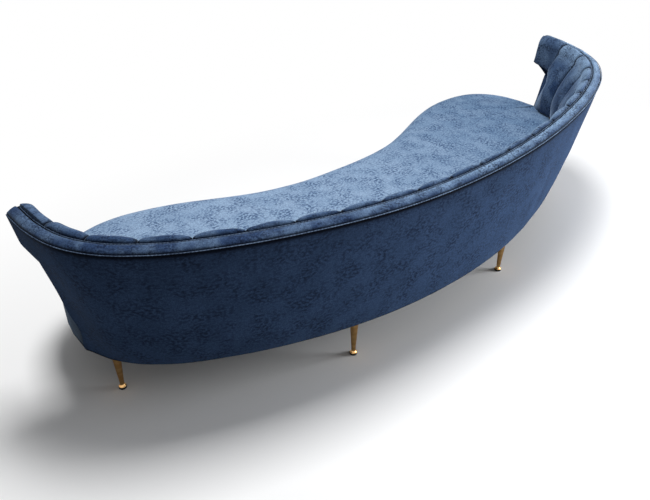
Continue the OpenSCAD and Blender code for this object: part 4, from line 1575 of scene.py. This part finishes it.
@dataclass
class WingPad:
    """The smooth pad inside one wing, with rounded free edges.

    Attributes:
        form: The sofa's shape.
        side: Which end.
        columns: Columns along the run.
        rows: Rows up the face.
        roll_rows: Rows over the rolled top.
        sink: How much flatter it is than the channels.
        tip_drop: How much lower its roll is at the tip.
        tip_over: Run over which the roll drops.
        edge: Width over which its free edges round off.
        edge_rise: How far up the rounding starts beside the last channel.
        boxy: How boxy that rounding is.
        least: Square of the share of the thickness that is left at the edges.
        soft: Depth of the pad's soft waves.
        soft_len: Their length.
        seam_shade: Painted shade beside the last channel.
        seam_w: Width of that dark line.
        shade: Painted shade of the inner side.
        shade_over: Height over the outer seam where it starts.
        shade_h: Height over which it grows.
        pale: Strength of the painted sheen.
        pale_h: Height over which it turns pale.
    """

    form: SofaForm
    side: Side
    columns: int = 40
    rows: int = 30
    roll_rows: int = 24
    sink: float = 0.012
    tip_drop: float = 0.007
    tip_over: float = 0.12
    edge: float = 0.016
    edge_rise: float = 0.024
    boxy: float = 2.4
    least: float = 0.02
    soft: float = 0.0016
    soft_len: float = 0.10
    seam_shade: float = 0.9
    seam_w: float = 0.008
    shade: float = 0.3
    shade_over: float = 0.02
    shade_h: float = 0.06
    pale: float = 0.15
    pale_h: float = 0.1

    # Swell of the pad along its run, as shares from the last channel to the tip
    SWELL = ((0, 0.35), (0.12, 0.75), (0.3, 0.95), (0.6, 1), (0.9, 0.85), (1, 0.6))

    def build(self) -> None:
        """Builds the pad as a shell between its rear and its face."""
        f, sign = self.form, self.side.value
        c = np.sin(np.linspace(0, 1, self.columns) * math.pi / 2)
        s = f.channel_s + (f.tip_s - f.channel_s) * c
        low_s = f.end_s - f.cover_t + (f.tip_s - f.end_s + f.cover_t) * c
        low = (f.wing_edge(low_s) + f.gap)[:, None]
        swell = np.interp(c, *np.array(self.SWELL).T)
        roll_q, roll_z = f.roll_rows(s, swell, self.roll_rows)
        near_tip = smooth_step((s - f.tip_s + self.tip_over) / self.tip_over)[:, None]
        roll_z = roll_z - self.tip_drop * near_tip
        end_q, end_z = roll_q[:, -1:], roll_z[:, -1:]
        up = 1 - np.cos(np.linspace(0, 1, self.rows, endpoint=False) * math.pi / 2)[None]
        z = low + (end_z - low) * up
        foot_q = (f.crest_seat_q(s) - f.bulge * (1 - swell))[:, None]
        face = end_q + (foot_q - end_q) * (end_z - z) / (end_z - f.pad_z)
        tall = np.hstack([z, roll_z[:, ::-1]])
        back = np.linspace(0, 1, self.roll_rows)
        rear_z = np.hstack([z, end_z + (roll_z[:, :1] - end_z) * back])
        start = np.abs(f.fanned(f.channels, tall)) + f.gap / 2
        run = start + (f.tip_s - start) * c[:, None]
        rear = f.rear_q(run, rear_z)
        face = np.hstack([face, roll_q[:, ::-1]]) - self.sink * swell[:, None]
        from_low = tall - low - self.edge_rise * (1 - c[:, None])
        from_edge = np.clip(np.minimum(f.tip_s - run, from_low) / self.edge, 0, 1)
        puff = np.sqrt(np.clip(1 - (1 - from_edge) ** self.boxy, self.least, 1))
        soft = self.soft * waves(run, tall, self.soft_len, seed=17 + sign)
        face = np.maximum(rear + (face - rear + soft) * puff, rear + 1.5 * f.gap)
        shade = smooth_step((f.top(run) + self.shade_over - tall) / self.shade_h)
        # Painted shade beside the last channel and low on the inner side, and painted sheen that
        # grows up from the lower edge
        crease = np.maximum(self.seam_shade * bell(run - start, self.seam_w), self.shade * shade)
        cloth = fabric(run, tall, crease, self.pale * smooth_step((tall - low) / self.pale_h))
        grids = f.at(sign * run, rear, rear_z), f.at(sign * run, face, tall)
        label = self.side.name.lower()
        pad = shell(*self.side.turned(*grids, cloth))
        pad.build(f"wing_cushion_{label}", BACK_VELVET, Slot.BACK, (f"wing_pad_{label}",),
                            sharp=70)


@dataclass
class Seat:
    """The one-piece crowned seat with its rolled front edge, and the welt below it.

    Attributes:
        form: The sofa's shape.
        crown: Rise of the crown.
        roll: Radius of the front edge.
        tight: Share by which the roll is tighter at the back's ends.
        tight_reach: Distance from them over which it tightens.
        steps: Stretches along the front.
        lead: Points from the front to the end of the back.
        fan: Points at each end that share one middle.
        side: Points along each end, beside the back.
        wall_rows: Rows up the front wall.
        roll_rows: Rows over the rolled edge.
        rows: Rows from the edge to the ridge.
        soft: Depth of the seat's soft waves.
        soft_len: Their length.
        soft_z: Height from which they start.
        soft_h: Height over which they start.
        seam_shade: Painted shade along the back pads.
        seam_w: Width of that dark line.
        under_run: Run over which it fades at the last channels.
        wall_dark: Painted shade low on the wall.
        wall_drop: How far under the seat's height it starts.
        wall_h: Height over which it grows.
        corner_dark: Further painted shade around the back's ends.
        corner_w: Reach of that darkness.
        notch_dark: Further painted shade right beside them.
        notch_w: Reach of that darkness.
        pale: Strength of the painted light.
        pale_from: X from which it is pale.
        pale_over: Width over which it turns pale.
        cloth_y: Scale of the cloth along Y.
        welt_steps: Points of the welt along the back, and along the front.
        welt_in: Depth of the welt under the outer face, as a share of its radius.
    """

    form: SofaForm
    crown: float = 0.016
    roll: float = 0.076
    tight: float = 0.4
    tight_reach: float = 0.25
    steps: int = 308
    lead: int = 14
    fan: int = 52
    side: int = 12
    wall_rows: int = 13
    roll_rows: int = 14
    rows: int = 26
    soft: float = 0.0011
    soft_len: float = 0.27
    soft_z: float = 0.3
    soft_h: float = 0.1
    seam_shade: float = 0.7
    seam_w: float = 0.012
    under_run: float = 0.05
    wall_dark: float = 0.45
    wall_drop: float = 0.03
    wall_h: float = 0.12
    corner_dark: float = 0.35
    corner_w: float = 0.15
    notch_dark: float = 0.4
    notch_w: float = 0.03
    pale: float = 0.75
    pale_from: float = -1.25
    pale_over: float = 1.4
    cloth_y: float = 0.9
    welt_steps: int = 500
    welt_in: float = 0.8
    front: MirroredCurve = field(init=False)

    # Shares of the front wall's plan, from the middle round the lobe to the end of the back
    FRONT_SHARES = ((0, -0.267), (0.083, -0.270), (0.171, -0.280), (0.261, -0.306), (0.342, -0.346),
                    (0.425, -0.396), (0.514, -0.448), (0.603, -0.486), (0.685, -0.5),
                    (0.760, -0.490), (0.825, -0.453), (0.876, -0.387), (0.908, -0.299),
                    (0.9195, -0.208))

    def __post_init__(self) -> None:
        """Samples the front wall's plan."""
        scale = np.array([self.form.half_w, self.form.depth])
        self.front = MirroredCurve(np.array(self.FRONT_SHARES, float) * scale)

    @property
    def foot(self) -> float:
        """Depth of the back pads' feet on the seat."""
        return self.form.bulge + self.form.pad_t + self.form.gap

    def front_line(self) -> Array:
        """Plan of the front wall, from the back's end at -X round the lobes to its end at +X.

        Returns:
            Its points.
        """
        f = self.form
        foot = np.array([float(f.end_line(f.base_z)) + f.gap])
        outer = f.outer_q(foot, 0 * foot + f.base_z)
        corner = f.at(foot, outer + f.cover_t, 0)[0, :2]
        run = np.linspace(-self.front.length, self.front.length, self.steps + 1)
        wall = np.stack([self.front.column(run, 0), self.front.column(run, 1)], -1)
        t = np.linspace(0, 1, self.lead, endpoint=False)[:, None]
        mirror = np.array([-1, 1])
        return np.vstack([corner * mirror * (1 - t) + wall[0] * t, wall,
                          (corner * (1 - t) + wall[-1] * t)[::-1]])

    def profile(self, reach: Array, tight: Array, rear: Array) -> tuple[Array, Array]:
        """Rows from the lower edge over the rolled edge to the ridge.

        Args:
            reach: Distance from the outline to the ridge, one per outline point.
            tight: How near the back's ends each point is, 0 to 1.
            rear: 0 where the edge rolls over, 1 where the seat goes under the back.

        Returns:
            Distances from the outline and heights, outline points by rows.
        """
        f = self.form
        roll = self.roll * (1 - self.tight * tight)
        wall = np.arange(self.wall_rows)[None] / self.wall_rows
        turn = np.arange(self.roll_rows)[None] / self.roll_rows * math.pi / 2
        share = np.linspace(0, 1, self.rows)[None]
        level = f.seat_h + 0 * reach * share
        roll_d = np.hstack([0 * wall * roll, roll * (1 - np.cos(turn))])
        front_z = np.hstack([f.trim_z + (f.seat_h - roll - f.trim_z) * wall,
                             f.seat_h - roll * (1 - np.sin(turn)), level])
        straight = np.linspace(f.trim_z, f.seat_h, roll_d.shape[1], endpoint=False)[None]
        rear_z = np.hstack([straight + 0 * reach, level])
        front_d = np.hstack([roll_d, roll + (reach - roll) * share])
        rear_d = np.hstack([0 * roll_d, reach * share])
        inset = front_d * (1 - rear) + rear_d * rear
        start = self.foot * tight
        crown = 1 - (1 - np.clip((inset - start) / (reach - start), 0, 1)) ** 2
        return inset, front_z * (1 - rear) + rear_z * rear + self.crown * crown

    def shading(self, grid: Array, inset: Array, under: Array, ends: Array) -> Array:
        """Painted shade: dark lines along the back pads, low on the wall and around the back's
        ends.

        Args:
            grid: The seat's points, rows by outline points by 3.
            inset: Distance of each from the outline.
            under: How far each outline point lies under the back pads.
            ends: The plan's two points at the back's ends.

        Returns:
            How dark each point is.
        """
        # Painted shade along the pads' feet, low on the wall and around the back's ends
        seam = self.seam_shade * under[None] * trail(np.abs(inset - self.foot), self.seam_w)
        near = np.minimum(*(np.linalg.norm(grid[..., :2] - end, axis=2) for end in ends))
        low = smooth_step((self.form.seat_h - self.wall_drop - grid[..., 2]) / self.wall_h)
        wall = low * (self.wall_dark + self.corner_dark * trail(near, self.corner_w)
                      + self.notch_dark * trail(near, self.notch_w))
        return np.clip(np.maximum(seam, wall), 0, DARKEST)

    def build(self) -> None:
        """Builds the seat as one skin from its lower front edge over the crown to the back pads."""
        f = self.form
        head = self.front_line()
        ends = head[[-1, 0]]
        s = (f.end_s + f.gap) * np.linspace(1, -1, len(head))
        tail = f.at(s, f.rear_seat_q(s) + f.gap, 0)[:, :2]
        t = np.linspace(0, 1, self.side + 2)[1:-1]
        left, right = ((a * (1 - t[:, None]) + b * t[:, None])
                       for a, b in ((head[-1], tail[0]), (tail[-1], head[0])))
        i = np.clip(np.arange(len(head)), self.fan, len(head) - 1 - self.fan)
        ridge = ((head + tail[::-1]) / 2)[i]
        outline = np.vstack([head, left, tail, right])
        middle = np.vstack([ridge, np.repeat(ridge[-1:], self.side, 0), ridge[::-1],
                            np.repeat(ridge[:1], self.side, 0)])
        none, up = np.zeros(len(head)), smooth_step(t)
        tight = sum(smooth_step(1 - np.linalg.norm(head - end, axis=1) / self.tight_reach)
                    for end in ends)
        tight = np.concatenate([tight, np.ones(len(outline) - len(head))])[:, None]
        rear = np.concatenate([none, up, np.ones(len(tail)), up[::-1]])[:, None]
        reach = np.linalg.norm(middle - outline, axis=1)[:, None]
        inset, tall = self.profile(reach, tight, rear)
        flat = outline[:, None] + ((middle - outline) / reach)[:, None] * inset[..., None]
        grid = np.concatenate([flat, tall[..., None]], 2).transpose(1, 0, 2)
        x, y, z = np.moveaxis(grid, 2, 0)
        high = smooth_step((z - self.soft_z) / self.soft_h)
        z += self.soft * waves(x, y, self.soft_len, seed=23) * high
        under = smooth_step((f.channel_s - np.abs(s)) / self.under_run)
        under = np.concatenate([none, 0 * up, under, 0 * up])
        # Painted light: the seat turns paler towards +X
        nap = self.pale * smooth_step((x - self.pale_from) / self.pale_over)
        cloth = fabric(x, y * self.cloth_y + z, self.shading(grid, inset.T, under, ends), nap)
        skin = loft(grid, cloth, capped=False)
        skin.faces = [face[::-1] for face in skin.faces]
        seat = skin.welded().build("seat_cushion", SEAT_VELVET, Slot.SEAT, ("seat_cover",))

    def welt(self) -> None:
        """Builds the thin welt along the whole lower edge."""
        f = self.form
        r, z = (f.trim_z - f.base_z) / 2, (f.trim_z + f.base_z) / 2
        reach = float(f.end_line(f.base_z))
        s = np.linspace(-reach, reach, self.welt_steps)
        back = f.at(s, f.outer_q(s, np.full_like(s, f.base_z)) + r * self.welt_in, z)
        run = np.linspace(-self.front.length, self.front.length, self.welt_steps)
        nx, ny = self.front.normal(run, 1)
        lead = np.stack([self.front.column(run, 0) + nx * r, self.front.column(run, 1) + ny * r,
                         np.full_like(run, z)], -1)
        loop = np.vstack([back, lead[::-1]])
        cord(loop, r, run_along(loop)).build("lower_welt", WELT_VELVET, Slot.PIPING,
                                             ("bottom_welt",))


@dataclass
class Legs:
    """The turned brass legs on their black glides.

    Attributes:
        top_r: Radius at the top.
        neck_r: Radius at the neck.
        foot_r: Radius of the flared foot.
        foot_h: Height of the flared foot.
        glide_h: Height of the glide.
        glide_r: Radius of the glide.
        glide_low: Chamfer of its lower edge.
        glide_high: Chamfer of its upper edge.
        sides: Sides of the turning.
        flare_rows: Rows up the flared foot.
        shaft_rows: Rows up the shaft.
    """

    top_r: float = 0.018
    neck_r: float = 0.008
    foot_r: float = 0.0145
    foot_h: float = 0.011
    glide_h: float = 0.008
    glide_r: float = 0.0155
    glide_low: float = 0.001
    glide_high: float = 0.0006
    sides: int = 40
    flare_rows: int = 22
    shaft_rows: int = 12

    NAMES = tuple(f"leg_{row}_{k}" for row in ("back", "front") for k in range(1, 5))
    # Shares of the flared foot, from the glide up: height, and radius from the neck's to the foot's
    FLARE = ((0.0, 0.9), (0.12, 1.0), (0.3, 0.92), (0.5, 0.55), (0.75, 0.2), (1.0, 0.0))

    def turning(self, outline: Array, centre: Vector) -> Piece:
        """Turns an outline about a vertical axis.

        Args:
            outline: Radius and height rows, from the bottom to the top.
            centre: A point of the axis.

        Returns:
            The piece.
        """
        angle = np.arange(self.sides) * 2 * math.pi / self.sides
        radius, z = outline[:, :1], outline[:, 1:]
        rings = np.stack(np.broadcast_arrays(centre.x + radius * np.cos(angle),
                                             centre.y + radius * np.sin(angle), z), -1)
        return loft(rings, fabric(angle[None] * self.top_r, z, 0))

    def leg_outline(self) -> Array:
        """Outline of a leg: its flared foot, then its tapered shaft.

        Returns:
            Radius and height rows, from the bottom to the top.
        """
        top_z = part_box("leg_plates")[0].z
        foot_z = self.glide_h + self.foot_h
        rise, swell = smooth_rows(np.array(self.FLARE), self.flare_rows).T
        t = np.linspace(0, 1, self.shaft_rows)[1:]
        radius = np.concatenate([self.neck_r + swell * (self.foot_r - self.neck_r),
                                 self.neck_r + (self.top_r - self.neck_r) * t])
        height = np.concatenate([self.glide_h + rise * self.foot_h, foot_z + (top_z - foot_z) * t])
        return np.stack([radius, height], -1)

    def glide_outline(self) -> Array:
        """Radius and height rows of a glide."""
        r, h = self.glide_r, self.glide_h
        return np.array([[r - self.glide_low, 0], [r, self.glide_low], [r, h - self.glide_high],
                         [r - self.glide_high, h]])

    def build(self) -> None:
        """Builds every leg where its CAD node stands, and the glides."""
        leg, glide = self.leg_outline(), self.glide_outline()
        glides = []
        for name in self.NAMES:
            low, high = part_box(name)
            centre = (low + high) / 2
            self.turning(leg, centre).build(f"turned_{name}", BRASS, Slot.BRASS, (name,), sharp=40)
            glides.append(self.turning(glide, centre))
        shift = np.cumsum([0] + [len(g.points) for g in glides])
        faces = [[v + int(start) for v in face]
                 for start, g in zip(shift, glides) for face in g.faces]
        all_glides = Piece(np.vstack([g.points for g in glides]), faces,
                           np.vstack([g.cloth for g in glides]))
        all_glides.build("floor_glides", NYLON, Slot.GLIDE, ("glides",), sharp=40)


class InnerFrame:
    """The hidden frame: every CAD node that stays gets a procedural material."""

    NODES = (
        (HARDWOOD, ("front_rail", "back_rail", "cross_rails", "leg_blocks", "back_uprights",
                    "top_rail")),
        (PLYWOOD, ("seat_deck", *(f"back_panel_{k}" for k in range(1, 7)))),
        (FOAM, ("seat_foam", "wing_core_left", "wing_core_right")),
        (STEEL, ("leg_plates", "leg_screws")),
        (DUST_CLOTH, ("dust_cover", "inner_liner")),
    )

    def dress(self) -> None:
        """Gives each node its material."""
        for finish, names in self.NODES:
            for name in names:
                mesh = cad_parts[name].data
                mesh.materials.clear()
                mesh.materials.append(finish.material())
            log.info("dressed %d nodes with %s", len(names), finish.name)


@dataclass(frozen=True)
class Lamp:
    """A square area lamp.

    Attributes:
        name: The lamp's name.
        place: Where it hangs.
        aim: The point that it faces.
        size: Length of its side.
        power: Its power in watts.
        colour: Its colour.
    """

    name: str
    place: Place
    aim: Place
    size: float
    power: float
    colour: Colour = (1, 1, 1)

    def hang(self) -> None:
        """Adds the lamp to the scene."""
        data = bpy.data.lights.new(self.name, "AREA")
        data.size, data.energy, data.color = self.size, self.power, self.colour
        lamp = bpy.data.objects.new(self.name, data)
        lamp.location = self.place
        way = Vector(self.aim) - Vector(self.place)
        lamp.rotation_euler = way.to_track_quat("-Z", "Y").to_euler()
        bpy.context.scene.collection.objects.link(lamp)


@dataclass
class Studio:
    """The pale floor, the soft lamps and the camera.

    Attributes:
        eye: The camera's place.
        pitch: Angle of the view below the horizon, in degrees.
        heading: Turn of the camera about the vertical, in degrees.
        lens: Focal length for a sensor 36 mm wide.
        shift: Sideways and upward shift of the view, as shares of the width.
        sky: Colour of the even light.
        sky_edge: Share of the sky to each side over which its strength changes.
        sky_dark: Strength of the even light from -X.
        sky_pale: Strength of the even light from +X.
        floor_reach: Half the floor's side.
        floor_seen: The floor's paleness to the camera.
        floor_thrown: Its paleness to the light that it throws back.
        white_scale: How fast the floor turns white along X and Y.
        white_middle: Shift of that oval along Y, in its own scale.
        white_from: Where it starts to turn white, in the same scale.
        white_to: Where it is white.
        lamps: The lamps.
    """

    eye: Place = (1.8953, 1.945, 1.9399)
    pitch: float = 34.095
    heading: float = 140.59
    lens: float = 38.77
    shift: tuple[float, float] = (0.0032, -0.0005)
    sky: Colour = (0.98, 0.99, 1)
    sky_edge: float = 0.9
    sky_dark: float = 0.36
    sky_pale: float = 0.14
    floor_reach: float = 30
    floor_seen: float = 0.9
    floor_thrown: float = 0.4
    white_scale: tuple[float, float] = (0.38, 0.56)
    white_middle: float = -0.20
    white_from: float = 0.62
    white_to: float = 1.2
    lamps: tuple[Lamp, ...] = (
        Lamp("key", place=(0.0, -0.15, 4.2), aim=(0.05, 0, 0), size=1.5, power=172),
        Lamp("fill", place=(-3.2, 2.4, 0.9), aim=(-0.3, 0.35, 0.45), size=1.8, power=155,
             colour=(0.95, 0.97, 1)),
    )

    def camera(self) -> None:
        """Places the camera at the photograph's angle."""
        data = bpy.data.cameras.new("camera")
        data.sensor_width = 36
        data.lens = self.lens
        data.shift_x, data.shift_y = self.shift
        eye = bpy.data.objects.new("camera", data)
        eye.location = self.eye
        eye.rotation_euler = (math.radians(90 - self.pitch), 0, math.radians(self.heading))
        bpy.context.scene.collection.objects.link(eye)
        bpy.context.scene.camera = eye

    def world(self) -> None:
        """A white background for the camera and for gloss, and a low even light for the rest."""
        world = bpy.data.worlds.new("studio")
        bpy.context.scene.world = world
        world.use_nodes = True
        world.node_tree.nodes.clear()
        w = Wiring(world.node_tree)
        rays = w.add("LightPath").outputs
        seen = w.calc("MAXIMUM", rays["Is Camera Ray"], rays["Is Glossy Ray"])
        split = w.add("SeparateXYZ", {"Vector": w.add("TexCoord").outputs["Generated"]})
        strength = w.fade(split.outputs["X"], -self.sky_edge, self.sky_edge,
                          self.sky_dark, self.sky_pale)
        ambient = w.add("Background", {"Color": self.sky, "Strength": strength})
        white = w.add("Background", {"Color": (1, 1, 1)})
        both = w.blend_shaders(seen, ambient, white)
        w.add("OutputWorld", {"Surface": both.outputs["Shader"]})

    def floor(self) -> None:
        """A wide floor that keeps the shadow near the sofa and turns white far from it."""
        mesh = bpy.data.meshes.new("floor")
        corners = [(x * self.floor_reach, y * self.floor_reach, 0)
                   for x, y in ((-1, -1), (1, -1), (1, 1), (-1, 1))]
        mesh.from_pydata(corners, [], [[0, 1, 2, 3]])
        floor = bpy.data.objects.new("floor", mesh)
        bpy.context.scene.collection.objects.link(floor)
        material = bpy.data.materials.new("floor")
        material.use_nodes = True
        material.node_tree.nodes.clear()
        w = Wiring(material.node_tree)
        seen = w.add("LightPath").outputs["Is Camera Ray"]
        thrown, lit = (w.add("BsdfDiffuse", {"Color": (paleness,) * 3})
                       for paleness in (self.floor_thrown, self.floor_seen))
        oval = w.add("Mapping", {"Vector": w.add("TexCoord").outputs["Object"],
                                 "Scale": (*self.white_scale, 1),
                                 "Location": (0, self.white_middle, 0)})
        far = w.add("VectorMath", operation="LENGTH")
        w.feed(far.inputs[0], oval.outputs["Vector"])
        away = w.fade(far.outputs["Value"], self.white_from, self.white_to)
        glow = w.add("Emission", {"Color": (1, 1, 1)})
        ground = w.blend_shaders(seen, thrown, lit)
        both = w.blend_shaders(w.calc("MULTIPLY", away, seen), ground, glow)
        w.add("OutputMaterial", {"Surface": both.outputs["Shader"]})
        mesh.materials.append(material)

    def build(self) -> None:
        """Sets up the whole studio."""
        bpy.context.scene.view_settings.view_transform = "Standard"
        self.camera()
        self.world()
        self.floor()
        for lamp in self.lamps:
            lamp.hang()
        log.info("studio ready")


def main() -> None:
    """Builds the sofa's pieces in order, and then the studio."""
    logging.basicConfig(level=logging.INFO, format="%(message)s")
    form = SofaForm()
    OuterBack(form).build()
    TopBand(form).build()
    InnerBack(form).build()
    seat = Seat(form)
    seat.build()
    seat.welt()
    Legs().build()
    InnerFrame().dress()
    Studio().build()


if __name__ == "__main__":
    main()
